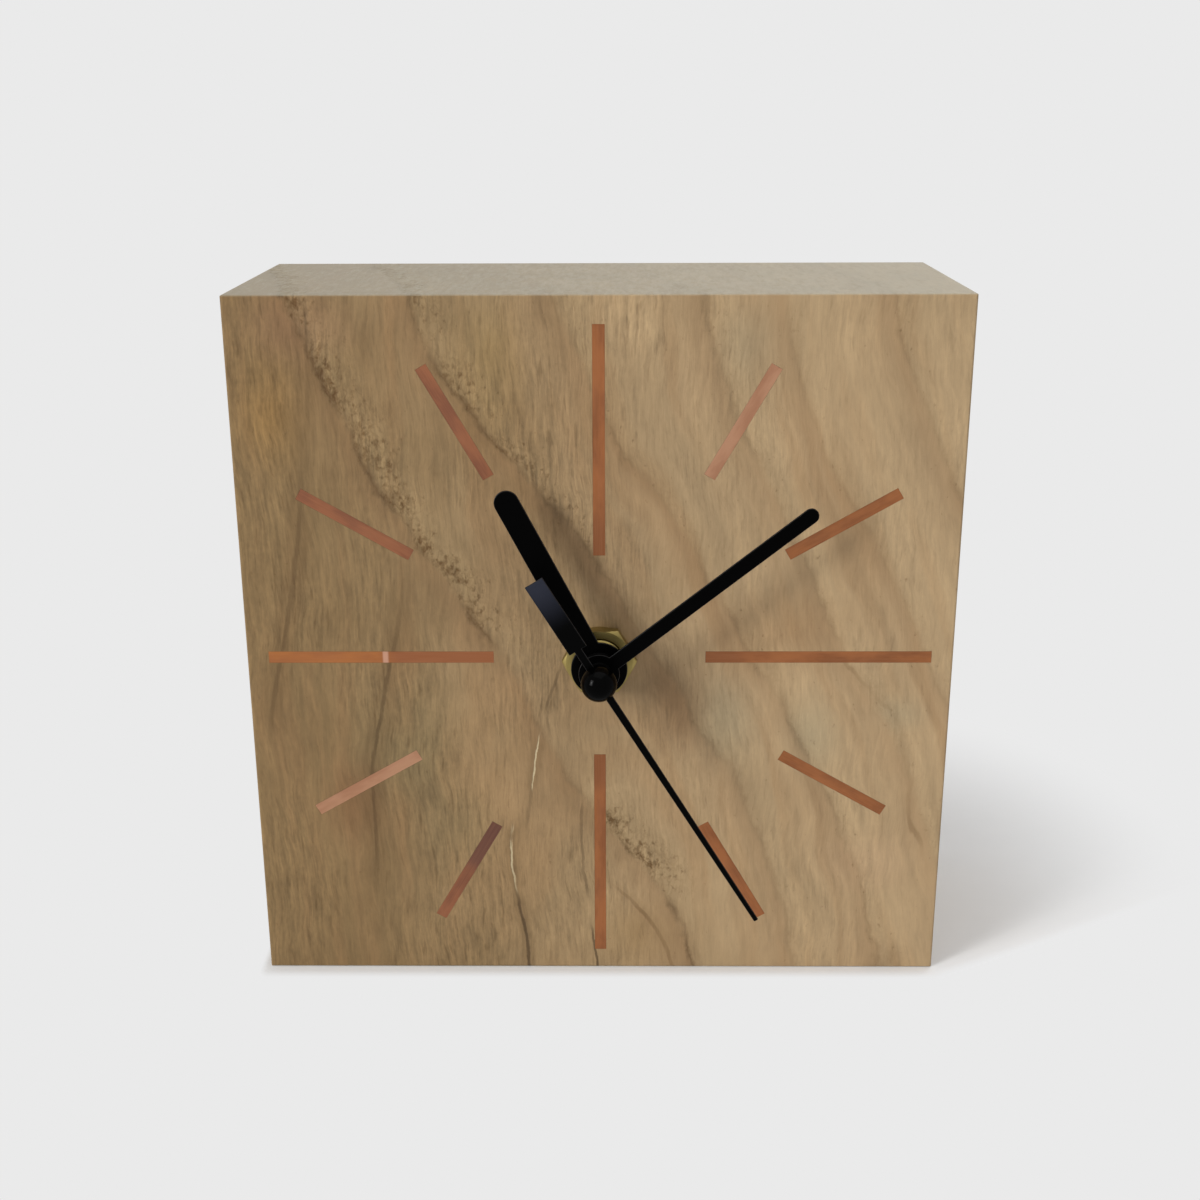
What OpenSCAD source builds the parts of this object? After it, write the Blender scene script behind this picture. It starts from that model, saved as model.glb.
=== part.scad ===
// Wooden block desk clock: copper hour strips let into the face, three black hands,
// and a battery quartz movement in a pocket milled from the back.
// Millimetres. +Z is up, the dial faces -Y, the origin is the centre of the block's base.

/* [Wooden block] */
// Width of the block
block_w = 120; // [108:1:160]
// Height of the block
block_h = 121; // [108:1:160]
// Depth of the block from front to back
block_d = 46; // [40:1:70]
// Radius that eases every edge of the block
edge_r = 0.4; // [0.3:0.1:2]
// Wood left between the dial and the rear pocket
dial_web = 10; // [7:0.5:12]
// Room between the movement and the sides of the rear pocket
pocket_gap = 2; // [1:0.5:4]
// Corner radius that the cutter leaves in the rear pocket
pocket_r = 4; // [2:0.5:7]
// Distance from the middle of the face down to the shaft
shaft_drop = 0.5; // [0:0.1:3]
// Radial room round the threaded bushing in the shaft hole
shaft_room = 0.25; // [0.1:0.05:0.6]

/* [Hour strips] */
// Width of a copper strip
strip_w = 2; // [1.2:0.1:3]
// Depth that a strip is let into the wood
strip_t = 2.5; // [1:0.1:4]
// Length of the strips at 12, 3, 6 and 9
long_strip_l = 38.3; // [25:0.1:40]
// Length of the other eight strips
short_strip_l = 21; // [12:0.1:26]
// Distance from the outer end of a long strip to the edge of the face
long_strip_inset = 3.7; // [2:0.1:8]
// Distance that a short strip's outer end keeps inside a circle as wide as the face
short_strip_inset = 2.8; // [2:0.1:8]
// Glue line on each side of a strip
strip_fit = 0.02; // [0.02:0.01:0.15]

/* [Hands] */
// Hour hand, shaft to tip
hour_hand_l = 34.2; // [24:0.1:40]
// Hour hand width
hour_hand_w = 4.1; // [2:0.1:6]
// Hour hand hub diameter
hour_hub_d = 9.4; // [8:0.1:12]
// Minute hand, shaft to tip
minute_hand_l = 44.6; // [36:0.1:54]
// Minute hand width
minute_hand_w = 2.5; // [1.5:0.1:4]
// Minute hand hub diameter
minute_hub_d = 6.8; // [5.8:0.1:9]
// Second hand, shaft to tip
second_hand_l = 51.3; // [40:0.1:56]
// Second hand width at the hub
second_root_w = 1.3; // [0.8:0.1:2]
// Second hand width at the tip
second_tip_w = 0.8; // [0.5:0.1:1.2]
// Second hand tail, shaft to end
second_tail_l = 19.9; // [14:0.1:26]
// Length of the broad part of the tail
second_tail_pad = 13.5; // [6:0.5:14]
// Width of the broad part of the tail
second_tail_w = 3.3; // [2:0.1:5]
// Sheet thickness of the hour and minute hands
hand_t = 0.4; // [0.3:0.05:0.8]
// Sheet thickness of the second hand
second_hand_t = 0.3; // [0.2:0.05:0.6]
// Height of the collar behind each of the two larger hands
collar_h = 1.4; // [1:0.1:1.8]
// Wall of that collar
collar_wall = 0.8; // [0.5:0.1:1.2]
// Diameter of the second hand cap
cap_d = 5.9; // [4.6:0.1:7]
// Straight side of the second hand cap
cap_side = 0.9; // [0.6:0.1:2]
// Height of the second hand cap's dome
cap_dome = 2.8; // [0.8:0.1:3]
// Length of the tube behind the second hand cap
cap_tube_l = 1.2; // [0.8:0.1:1.5]
// Wall of that tube
cap_tube_wall = 0.6; // [0.4:0.05:0.9]

/* [Time shown] */
// Degrees that the hour hand was pressed on short of its exact place
hour_hand_lag = 1.8; // [0:0.1:4]
// Hour
shown_hour = 11; // [0:1:11]
// Minute
shown_minute = 8.6; // [0:0.1:59.9]
// Second
shown_second = 24.75; // [0:0.25:59.75]

/* [Shaft stack] */
// Thickness of the rubber gasket
gasket_t = 1; // [0.6:0.1:2]
// Diameter of the rubber gasket
gasket_d = 24; // [14:0.5:40]
// Outside diameter of the bushing thread
thread_d = 8; // [7.6:0.1:9]
// Pitch of the bushing thread
thread_pitch = 0.75; // [0.5:0.05:1]
// Depth of the bushing thread
thread_depth = 0.35; // [0.2:0.05:0.45]
// Diameter of the bushing flange inside the case
flange_d = 11; // [10:0.1:13]
// Thickness of that flange
flange_t = 0.8; // [0.5:0.1:1.1]
// Thread that shows in front of the nut
thread_past = 0.8; // [0.4:0.1:2]
// Brass washer diameter
washer_d = 11; // [10:0.1:12.5]
// Brass washer thickness
washer_t = 0.6; // [0.4:0.1:1.2]
// Nut size across flats
nut_af = 11; // [10:0.1:13]
// Nut thickness
nut_t = 2.2; // [1.6:0.1:3.5]
// Room from the bushing to the back of the hour hand
hour_lift = 2; // [1.8:0.1:6]
// Room from the hour hand to the back of the minute hand
minute_lift = 1.9; // [1.6:0.1:3]
// Room from the minute hand to the back of the second hand
second_lift = 3.3; // [1.8:0.1:4]
// Second arbor diameter
second_arbor_d = 1; // [0.7:0.05:1.3]
// Minute tube diameter
minute_tube_d = 3.2; // [2.8:0.05:3.6]
// Hour tube diameter
hour_tube_d = 5; // [4.6:0.05:5.6]
// Radial running clearance of every turning piece
run_fit = 0.05; // [0.03:0.01:0.1]
// Radial gap of a pressed-on piece
press_fit = 0.01; // [0.005:0.005:0.02]

/* [Movement case] */
// Thickness of the case walls
case_wall = 1.5; // [1.2:0.1:2.5]
// Corner radius of the case
case_r = 2; // [1:0.25:3]
// Thickness of the back cover
cover_t = 1.5; // [1:0.1:2.5]
// Thickness of the wall between the gears and the battery bay
divider_t = 1.2; // [0.8:0.1:2]
// Room from the gears to that wall
train_gap = 1.2; // [0.9:0.1:3]
// Radius of the posts that carry the train bridge
post_r = 1.3; // [1.05:0.05:1.6]
// Radius of the pins that locate the plates
pin_r = 0.7; // [0.5:0.05:0.85]
// Radial room round a locating pin
pin_fit = 0.05; // [0.03:0.01:0.15]
// Thickness of the train bridge
bridge_t = 1; // [0.8:0.1:2]
// Room between the train bridge and the back cover
cover_gap = 0.6; // [0.5:0.1:2]
// Width of the snap tongues on the back cover
tongue_w = 5; // [3:0.5:6]
// Reach of the snap tongues into the case
tongue_l = 6; // [4:0.5:7]
// Thickness of the snap tongues
tongue_t = 0.8; // [0.6:0.1:1]
// Height of the catch at the end of a tongue
catch_h = 1.4; // [1:0.1:2]
// Room round the tongues and catches
snap_fit = 0.1; // [0.05:0.01:0.2]

/* [Gear train] */
// Module of the center gear and the third wheel's pinion
center_module = 0.25; // [0.25:0.005:0.26]
// Module of the second wheel, the intermediate wheel and the rotor pinion
train_module = 0.26; // [0.26:0.005:0.28]
// Module of the motion work
motion_module = 0.4; // [0.38:0.01:0.43]
// Thickness of every wheel
wheel_t = 1.2; // [1:0.05:1.4]
// Free height between two wheel levels
level_gap = 0.6; // [0.5:0.05:0.9]
// End play in front of the hour wheel
axial_play = 0.4; // [0.2:0.05:0.6]
// Amount that each tooth is thinned for backlash
tooth_play = 0.1; // [0.08:0.01:0.12]
// Diameter of the plain wheel arbors
arbor_d = 0.9; // [0.7:0.05:1]
// Diameter of the post that the minute wheel turns on
stub_d = 1.2; // [0.9:0.05:1.4]
// Diameter of the clutch seat on the minute arbor
clutch_d = 3; // [2.6:0.05:3.1]
// Diameter of the collar that keeps the center gear on
clutch_flange_d = 4.4; // [3.8:0.1:6]
// Thickness of that collar
clutch_flange_t = 0.25; // [0.2:0.05:0.35]
// Outside diameter of the clutch spring
clutch_spring_d = 6.4; // [5:0.1:8]
// Sheet thickness of the clutch spring
clutch_spring_t = 0.2; // [0.15:0.05:0.3]

/* [Time setter] */
// Diameter of the setting arbor
setter_d = 2.4; // [1.8:0.1:3]
// Diameter of the setting arbor's front pivot
setter_pivot_d = 1.4; // [1:0.1:1.8]
// Diameter of the setting knob
knob_d = 10; // [8:0.5:14]
// Height of the setting knob
knob_h = 4; // [3:0.25:7]
// Number of grip grooves round the knob
knob_grips = 24; // [12:1:30]
// Diameter of a grip groove
knob_grip_d = 0.8; // [0.5:0.1:1]
// Room between the knob and the back cover
knob_gap = 0.5; // [0.3:0.1:1]

/* [Motor and circuit] */
// Diameter of the rotor magnet
magnet_d = 5; // [4:0.1:5.6]
// Length of the rotor magnet
magnet_l = 3; // [2:0.1:3.4]
// Air gap round the rotor magnet
air_gap = 0.4; // [0.3:0.05:0.7]
// Width of the stator's rim round the rotor
stator_rim = 1.5; // [1:0.1:2]
// Thickness of the stator
stator_t = 1; // [0.6:0.1:1.2]
// Width of the stator arms and the coil core
arm_w = 4.2; // [3.4:0.1:4.4]
// Thickness of the coil core
core_t = 1; // [0.6:0.1:1.2]
// Length of the coil bobbin
coil_l = 20; // [16:0.5:20]
// Diameter of the bobbin flanges
bobbin_d = 7.5; // [6.8:0.1:8]
// Thickness of the bobbin flanges
bobbin_flange_t = 0.8; // [0.5:0.1:1.2]
// Depth that the winding stays inside the flanges
winding_inset = 0.25; // [0.1:0.05:0.5]
// Wall of the bobbin tube at the corners of the core
bobbin_wall = 0.35; // [0.25:0.05:0.5]
// Free space between the coil, the stator and the case
coil_gap = 0.5; // [0.3:0.05:1]
// Height of the circuit board
board_h = 24; // [20:0.5:26]
// Thickness of the circuit board
board_t = 1; // [0.6:0.1:1.6]
// Height of the posts under the circuit board
board_stand = 1.5; // [1:0.1:2]
// Room between the circuit board and what is beside it
board_gap = 0.4; // [0.2:0.05:0.6]
// Diameter of the crystal can
crystal_d = 2; // [1.5:0.1:2.2]
// Length of the crystal can
crystal_l = 6; // [5:0.1:8]
// Diameter of the resin cover over the chip
chip_d = 4; // [3:0.1:4.2]
// Height of the resin cover over the chip
chip_h = 0.9; // [0.6:0.1:1.4]

/* [Battery] */
// Cell diameter
battery_d = 14.2; // [13.5:0.1:14.5]
// Cell length over the terminal
battery_l = 50.2; // [49.2:0.1:50.5]
// Diameter of the terminal
terminal_d = 5.4; // [4.2:0.1:6]
// Height of the terminal
terminal_h = 1.2; // [0.8:0.1:1.6]
// Radius of the rolled edges of the cell
battery_edge = 0.6; // [0.3:0.1:1]
// Room between the cell and the walls of its bay
bay_gap = 0.4; // [0.3:0.05:0.8]
// Room for a contact at each end of the cell
contact_room = 1.35; // [1.2:0.05:2]
// Sheet thickness of the contacts
contact_t = 0.3; // [0.2:0.05:0.4]
// Width of the contacts
contact_w = 5; // [3:0.25:6]
// Gap left between a contact and the cell
contact_touch = 0.08; // [0.05:0.01:0.15]
// Distance of a contact from the wall behind it
contact_seat = 0.1; // [0.05:0.01:0.2]

/* [Hidden] */
$fn = 72;

// Tooth counts that make the hands keep time
rotor_teeth = 10;
inter_teeth = 50;
inter_pinion_teeth = 10;
second_teeth = 60;
second_pinion_teeth = 8;
third_teeth = 60;
third_pinion_teeth = 8;
center_teeth = 64;
cannon_teeth = 10;
minute_teeth = 30;
minute_pinion_teeth = 8;
hour_teeth = 32;
setter_teeth = 12;

// Angles of the hands, clockwise from 12
hour_angle = 30 * (shown_hour + shown_minute / 60) - hour_hand_lag;
minute_angle = 6 * shown_minute;
second_angle = 6 * shown_second;

function polar(r, a) = [r * cos(a), r * sin(a)];

// Centre distances, and the modules that follow from sharing them
third_gap = (center_teeth + third_pinion_teeth) / 2 * center_module;
third_module = 2 * third_gap / (third_teeth + second_pinion_teeth);
inter_gap = (second_teeth + inter_pinion_teeth) / 2 * train_module;
rotor_gap = (inter_teeth + rotor_teeth) / 2 * train_module;
motion_gap = (cannon_teeth + minute_teeth) / 2 * motion_module;
hour_module = 2 * motion_gap / (hour_teeth + minute_pinion_teeth);
setter_gap = (minute_teeth + setter_teeth) / 2 * motion_module;

// Directions from axis to axis, seen from the front
third_dir = 0;
inter_dir = 120;
rotor_dir = 40;
motion_dir = 180;
setter_dir = 180;

third_at = polar(third_gap, third_dir);
inter_at = polar(inter_gap, inter_dir);
rotor_at = inter_at + polar(rotor_gap, rotor_dir);
motion_at = polar(motion_gap, motion_dir);
setter_at = motion_at + polar(setter_gap, setter_dir);

// Tooth height over and under the pitch circle, in modules
tooth_up = 0.8;
tooth_down = 1.15;

function tip_r(teeth, module_size) = module_size * (teeth / 2 + tooth_up);
function root_r(teeth, module_size) = module_size * (teeth / 2 - tooth_down);

third_tip = tip_r(third_teeth, third_module);
center_tip = tip_r(center_teeth, center_module);
second_tip = tip_r(second_teeth, train_module);
inter_tip = tip_r(inter_teeth, train_module);
minute_tip = tip_r(minute_teeth, motion_module);

// Heights along the shaft, measured out of the dial
z_floor = -dial_web;
z_case = z_floor - gasket_t;
z_inner = z_case - case_wall;

function level(n) = z_inner - axial_play - n * (wheel_t + level_gap);

z_bridge = level(6);
z_bridge_back = z_bridge - bridge_t;
z_cover = z_bridge_back - cover_gap;
z_back = z_cover - cover_t;
z_thread_end = washer_t + nut_t + thread_past;
z_hour_hand = z_thread_end + hour_lift;
z_minute_hand = z_hour_hand + hand_t + minute_lift;
z_second_hand = z_minute_hand + hand_t + second_lift;
z_cap = z_second_hand + second_hand_t;
z_magnet = (level(2) + level(4) - wheel_t) / 2 + magnet_l / 2;
z_stator = z_magnet - magnet_l / 2 + stator_t / 2;
z_coil = z_stator + core_t / 2;
z_board = z_inner - board_stand;
z_board_back = z_board - board_t;
z_battery = z_inner - bay_gap - battery_d / 2;

// Outline of the movement, seen from the front
bay_half = battery_l / 2 + contact_room;
case_half = bay_half + case_wall;
y_divider = -max(third_tip, center_tip, second_tip) - train_gap;
y_bay_top = y_divider - divider_t;
y_battery = y_bay_top - bay_gap - battery_d / 2;
y_bay_bottom = y_battery - battery_d / 2 - bay_gap;
stator_r = magnet_d / 2 + air_gap + stator_rim;
y_coil = rotor_at[1] + stator_r + coil_gap + bobbin_d / 2;
y_train_top = y_coil + bobbin_d / 2 + coil_gap;
case_top = y_train_top + case_wall;
case_bottom = y_bay_bottom - case_wall;
case_mid = (case_top + case_bottom) / 2;
case_w = 2 * case_half;
case_h = case_top - case_bottom;
y_cover_edge = y_divider - divider_t / 2;

// Radii in the shaft stack
second_arbor_r = second_arbor_d / 2;
minute_bore_r = second_arbor_r + run_fit;
minute_tube_r = minute_tube_d / 2;
hour_bore_r = minute_tube_r + run_fit;
hour_tube_r = hour_tube_d / 2;
bushing_bore_r = hour_tube_r + run_fit;
thread_r = thread_d / 2;
pivot_r = arbor_d / 2 + run_fit;

// Posts that carry the train bridge, each just clear of the wheel beside it
post_a = motion_at + polar(minute_tip + post_r + 1.2, 235);
post_b = third_at + polar(third_tip + post_r + 0.8, -42);
post_c = third_at + polar(third_tip + post_r + 0.8, 50);
post_d = inter_at + polar(inter_tip + post_r + 0.6, 176);
bridge_posts = [post_a, post_b, post_c, post_d];

// Coil, stator and circuit board places
core_half = coil_l / 2 + coil_gap + arm_w;
stator_pin_x = core_half - arm_w / 2;
stator_pins = [rotor_at + [-stator_pin_x, 0], rotor_at + [stator_pin_x, 0]];
board_left = max(third_at[0] + third_tip, post_c[0] + post_r, rotor_at[0] + core_half) + board_gap;
board_right = bay_half - board_gap;
board_x = (board_left + board_right) / 2;
board_w = board_right - board_left;
board_bottom = post_b[1] + post_r + board_gap;
board_pins = [[board_x, board_bottom + 5], [board_x, board_bottom + board_h - 3]];
tongue_y = [board_bottom + 8, board_bottom + board_h - 2];
leg_x = board_left + 1.6;

dial_z = block_h / 2 - shaft_drop;
face_half = min(block_w, block_h) / 2;

// Puts what is drawn round the shaft, with z out of the dial, into place in the clock
module in_dial() {
  translate([0, -block_d / 2, dial_z])
    rotate([90, 0, 0])
      children();
}

module at(place) {
  translate([place[0], place[1], 0])
    children();
}

// A flat shape that starts at height z and goes back by t
module slab(z, t) {
  translate([0, 0, z - t])
    linear_extrude(t)
      children();
}

module rod(r, z_low, z_high) {
  translate([0, 0, z_low])
    cylinder(r = r, h = z_high - z_low);
}

module box(x0, x1, y0, y1) {
  translate([x0, y0])
    square([x1 - x0, y1 - y0]);
}

module rounded_rect(w, h, r) {
  square([w - 2 * r, h], center = true);
  square([w, h - 2 * r], center = true);
  for (x = [-1, 1], y = [-1, 1])
    translate([x * (w / 2 - r), y * (h / 2 - r)])
      circle(r);
}

function involute_angle(a) = tan(a) * 180 / PI - a;

// Half the angle that a tooth takes up at radius r
function half_tooth(teeth, size, r) =
  let (pitch_r = size * teeth / 2)
  let (base_r = pitch_r * cos(20))
  let (a = r > base_r ? acos(base_r / r) : 0)
  90 / teeth - tooth_play / pitch_r * 90 / PI + involute_angle(20) - involute_angle(a);

function tooth_points(teeth, size) =
  let (low = root_r(teeth, size))
  let (mid = size * teeth / 2)
  let (high = tip_r(teeth, size))
  let (a_low = half_tooth(teeth, size, low) * (teeth < 16 ? 0.8 : 1))
  let (a_mid = half_tooth(teeth, size, mid))
  let (a_high = half_tooth(teeth, size, high))
  [[low, -a_low], [mid, -a_mid], [high, -a_high], [high, a_high], [mid, a_mid], [low, a_low]];

module gear_shape(teeth, size, turn) {
  polygon([
    for (k = [0 : teeth - 1])
      for (p = tooth_points(teeth, size))
        polar(p[0], turn + k * 360 / teeth + p[1])
  ]);
}

// Turn of the second gear that puts its teeth into the gaps of the first
function meshed(turn, teeth, direction, other_teeth) =
  direction + 180 - 360 / other_teeth * (0.5 - (direction - turn) * teeth / 360);

module wheel(teeth, size, turn, n) {
  slab(level(n), wheel_t)
    gear_shape(teeth, size, turn);
}

// Strip number 12 points up, and the others follow clockwise
module strip_shape(n, room) {
  long = n % 3 == 0;
  reach = face_half - (long ? long_strip_inset : short_strip_inset);
  l = long ? long_strip_l : short_strip_l;
  rotate(-30 * n)
    box(-strip_w / 2 - room, strip_w / 2 + room, reach - l - room, reach + room);
}

module pocket_shape() {
  translate([0, case_mid])
    rounded_rect(case_w + 2 * pocket_gap, case_h + 2 * pocket_gap, pocket_r);
}

module wood_block() {
  color("#b59a78")
    difference() {
      translate([0, 0, block_h / 2])
        intersection() {
          linear_extrude(block_h, center = true)
            rounded_rect(block_w, block_d, edge_r);
          rotate([90, 0, 0])
            linear_extrude(block_d, center = true)
              rounded_rect(block_w, block_h, edge_r);
          rotate([90, 0, 90])
            linear_extrude(block_w, center = true)
              rounded_rect(block_d, block_h, edge_r);
        }
      in_dial() {
        rod(thread_r + shaft_room, z_floor - 1, 1);
        slab(z_floor, block_d)
          pocket_shape();
        translate([0, 0, -strip_t])
          linear_extrude(strip_t + 1)
            for (n = [1 : 12])
              strip_shape(n, strip_fit);
      }
    }
}

module hour_marker(n) {
  color("#b0714f")
    in_dial()
      slab(0, strip_t)
        strip_shape(n, 0);
}

module dial_gasket() {
  color("#26262a")
    in_dial()
      slab(z_floor, gasket_t)
        difference() {
          circle(d = gasket_d);
          circle(thread_r + shaft_room);
        }
}

module brass_washer() {
  color("#c9a45a")
    in_dial()
      slab(washer_t, washer_t)
        difference() {
          circle(d = washer_d);
          circle(thread_r + shaft_room / 2);
        }
}

module brass_nut() {
  color("#d1ab5c")
    in_dial()
      difference() {
        intersection() {
          translate([0, 0, washer_t])
            cylinder(d = nut_af / cos(30), h = nut_t, $fn = 6);
          translate([0, 0, washer_t])
            cylinder(r1 = nut_af / 2 + 1.3 + nut_t, r2 = nut_af / 2 + 0.25, h = nut_t);
        }
        rod(thread_r + run_fit, 0, z_thread_end);
      }
}

// The thread is drawn as separate rings
module threaded_bushing() {
  z_low = z_case + 0.6;
  turns = floor((z_thread_end - 0.4 - z_low) / thread_pitch);
  color("#c49f56")
    in_dial()
      difference() {
        union() {
          rod(thread_r, z_inner, z_low);
          rod(thread_r - thread_depth, z_low, z_thread_end);
          for (k = [0 : turns - 1])
            translate([0, 0, z_low + k * thread_pitch])
              rotate_extrude()
                polygon([
                  [thread_r - thread_depth - 0.2, 0],
                  [thread_r - thread_depth, 0],
                  [thread_r, thread_pitch * 0.4],
                  [thread_r, thread_pitch * 0.55],
                  [thread_r - thread_depth, thread_pitch * 0.95],
                  [thread_r - thread_depth - 0.2, thread_pitch * 0.95]
                ]);
          rod(flange_d / 2, z_inner, z_inner + flange_t);
        }
        rod(bushing_bore_r, z_inner - 1, z_thread_end + 1);
      }
}

module case_shape() {
  translate([0, case_mid])
    rounded_rect(case_w, case_h, case_r);
}

// Places of the snap tongues, as a side and a height
module each_tongue() {
  for (side = [-1, 1], y = tongue_y)
    translate([side * bay_half, y, 0])
      scale([side, 1, 1])
        children();
}

module pinned_post(r, z_seat, z_end) {
  rod(r, z_seat, z_inner + 0.2);
  rod(pin_r, z_end, z_seat + 0.1);
}

module movement_case() {
  slot = contact_seat + contact_t + contact_seat;
  color("#2d2e31")
    in_dial()
      difference() {
        union() {
          difference() {
            slab(z_case, z_case - z_back)
              case_shape();
            slab(z_inner, z_inner - z_back + 1) {
              box(-bay_half, bay_half, y_divider, y_train_top);
              box(-bay_half, bay_half, y_bay_bottom, y_bay_top);
              box(-bay_half, slot - bay_half, y_bay_top - 1, y_divider + 1);
              box(bay_half - slot, bay_half, y_bay_top - 1, y_divider + 1);
            }
            slab(z_cover, cover_t + 1)
              box(-case_half - 1, case_half + 1, y_cover_edge, case_top + 1);
          }
          for (p = bridge_posts)
            at(p)
              pinned_post(post_r, z_bridge, z_bridge_back - 0.3);
          for (p = stator_pins)
            at(p)
              pinned_post(post_r, z_stator, z_stator - stator_t - 0.4);
          for (p = board_pins)
            at(p)
              pinned_post(post_r, z_board, z_board_back - 0.4);
          at(motion_at)
            rod(stub_d / 2, level(1) - wheel_t, z_inner + 0.2);
          at(third_at)
            rod(post_r, level(2) + 0.3, z_inner + 0.2);
          at(inter_at)
            rod(post_r - 0.2, level(2) + 0.3, z_inner + 0.2);
          at(rotor_at)
            rod(post_r, z_magnet + 0.4, z_inner + 0.2);
          at(setter_at)
            rod(setter_pivot_d / 2 + 0.8, level(1) + 0.3, z_inner + 0.2);
        }
        rod(thread_r + press_fit, z_inner - 1, z_case + 1);
        rod(flange_d / 2 + press_fit, z_inner - 1, z_inner + flange_t);
        for (p = [third_at, inter_at, rotor_at])
          at(p)
            rod(pivot_r, z_magnet - 1, z_inner + 0.3);
        at(setter_at)
          rod(setter_pivot_d / 2 + run_fit, level(1) - 1, z_inner + 0.3);
        each_tongue()
          slab(z_cover - cover_t / 2 + tongue_l - cover_t / 2 + snap_fit, catch_h + 2 * snap_fit)
            box(-0.5, case_wall + 1, -tongue_w / 2 - snap_fit, tongue_w / 2 + snap_fit);
      }
}

module back_cover() {
  z_tip = z_cover + tongue_l - cover_t;
  color("#333438")
    in_dial()
      difference() {
        union() {
          slab(z_cover, cover_t)
            intersection() {
              case_shape();
              box(-case_half, case_half, y_cover_edge + snap_fit, case_top);
            }
          each_tongue() {
            slab(z_tip, z_tip - z_cover + 0.5)
              box(-snap_fit - tongue_t, -snap_fit, -tongue_w / 2, tongue_w / 2);
            slab(z_tip, catch_h)
              box(-snap_fit - tongue_t, case_wall * 0.6, -tongue_w / 2, tongue_w / 2);
          }
          at(setter_at)
            rod(setter_d / 2 + 1.6, z_back, z_cover + 0.3);
        }
        at(setter_at)
          rod(setter_d / 2 + run_fit, z_back - 1, z_cover + 1);
      }
}

module train_bridge() {
  left = min(post_a[0], post_d[0]) - post_r;
  right = max(post_b[0], post_c[0]) + post_r;
  low = min(post_a[1], post_b[1]) - post_r;
  high = rotor_at[1] + post_r + 0.6;
  color("#d8d4c4")
    in_dial()
      slab(z_bridge, bridge_t)
        difference() {
          translate([(left + right) / 2, (low + high) / 2])
            rounded_rect(right - left, high - low, post_r);
          for (p = bridge_posts)
            at(p)
              circle(pin_r + pin_fit);
          for (p = [third_at, inter_at, rotor_at])
            at(p)
              circle(pivot_r);
          circle(minute_bore_r);
          at(setter_at)
            circle(setter_d / 2 + 0.6);
        }
}

module stator() {
  color("#8d9094")
    in_dial()
      slab(z_stator, stator_t)
        at(rotor_at)
          difference() {
            union() {
              circle(stator_r);
              box(-core_half, core_half, -arm_w / 2, arm_w / 2);
              for (side = [-1, 1])
                translate([side * stator_pin_x, 0])
                  box(-arm_w / 2, arm_w / 2, 0, y_coil - rotor_at[1] + arm_w / 2);
            }
            circle(magnet_d / 2 + air_gap);
            for (side = [-1, 1])
              translate([side * stator_pin_x, 0])
                circle(pin_r + pin_fit);
          }
}

module coil_core() {
  color("#9a9da1")
    in_dial()
      slab(z_stator + core_t, core_t)
        translate([rotor_at[0], y_coil])
          square([2 * core_half, arm_w], center = true);
}

// Turns a shape drawn along z into the coil's place along x
module along_coil() {
  translate([rotor_at[0], y_coil, z_coil])
    rotate([0, 90, 0])
      children();
}

bobbin_tube_r = sqrt(arm_w * arm_w + core_t * core_t) / 2 + bobbin_wall;

module coil_bobbin() {
  color("#e6e2d2")
    in_dial()
      along_coil()
        difference() {
          union() {
            rod(bobbin_tube_r, -coil_l / 2, coil_l / 2);
            rod(bobbin_d / 2, -coil_l / 2, bobbin_flange_t - coil_l / 2);
            rod(bobbin_d / 2, coil_l / 2 - bobbin_flange_t, coil_l / 2);
          }
          translate([0, 0, -coil_l / 2 - 1])
            linear_extrude(coil_l + 2)
              square([core_t + 2 * pin_fit, arm_w + 2 * pin_fit], center = true);
        }
}

module coil_winding() {
  half = coil_l / 2 - bobbin_flange_t - press_fit;
  color("#a8552f")
    in_dial()
      along_coil()
        difference() {
          rod(bobbin_d / 2 - winding_inset, -half, half);
          rod(bobbin_tube_r + press_fit, -half - 1, half + 1);
        }
}

module circuit_board() {
  color("#3f6b4a")
    in_dial()
      slab(z_board, board_t)
        difference() {
          box(board_left, board_right, board_bottom, board_bottom + board_h);
          for (p = board_pins)
            at(p)
              circle(pin_r + pin_fit);
        }
}

module chip_cover() {
  r = chip_d / 2;
  ball = (r * r + chip_h * chip_h) / (2 * chip_h);
  color("#1d1d1f")
    in_dial()
      translate([board_x, board_bottom + board_h / 2 - 1, z_board_back - chip_h + ball])
        intersection() {
          sphere(ball);
          rod(r + 1, -ball - 1, chip_h - ball);
        }
}

module quartz_crystal() {
  color("#c3c6ca")
    in_dial()
      translate([board_x, board_bottom + board_h / 2 + 2, z_board_back - crystal_d / 2 - press_fit])
        rotate([-90, 0, 0])
          cylinder(d = crystal_d, h = crystal_l);
}

// A contact strip with a pressed bump, drawn for the right-hand end of the cell
module contact_shape(y_top) {
  x0 = bay_half - contact_seat;
  x1 = battery_l / 2 + contact_touch;
  bump = 4;
  tip = 1.2;
  polygon([
    [x0, y_bay_bottom + 1],
    [x0, y_battery - bump],
    [x1 + contact_t, y_battery - tip],
    [x1 + contact_t, y_battery + tip],
    [x0, y_battery + bump],
    [x0, y_top],
    [x0 - contact_t, y_top],
    [x0 - contact_t, y_battery + bump],
    [x1, y_battery + tip],
    [x1, y_battery - tip],
    [x0 - contact_t, y_battery - bump],
    [x0 - contact_t, y_bay_bottom + 1]
  ]);
}

z_contact = z_battery + contact_w / 2;
contact_top = board_bottom + 2.4;

module contact_positive() {
  x0 = bay_half - contact_seat;
  color("#c8b98a")
    in_dial() {
      slab(z_contact, contact_w)
        contact_shape(contact_top);
      slab(z_board_back, z_board_back - z_contact + 0.5)
        box(x0 - contact_t, x0, board_bottom, contact_top);
      slab(z_board_back, contact_t)
        box(x0 - contact_t - 1.4, x0, board_bottom, contact_top);
    }
}

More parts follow.
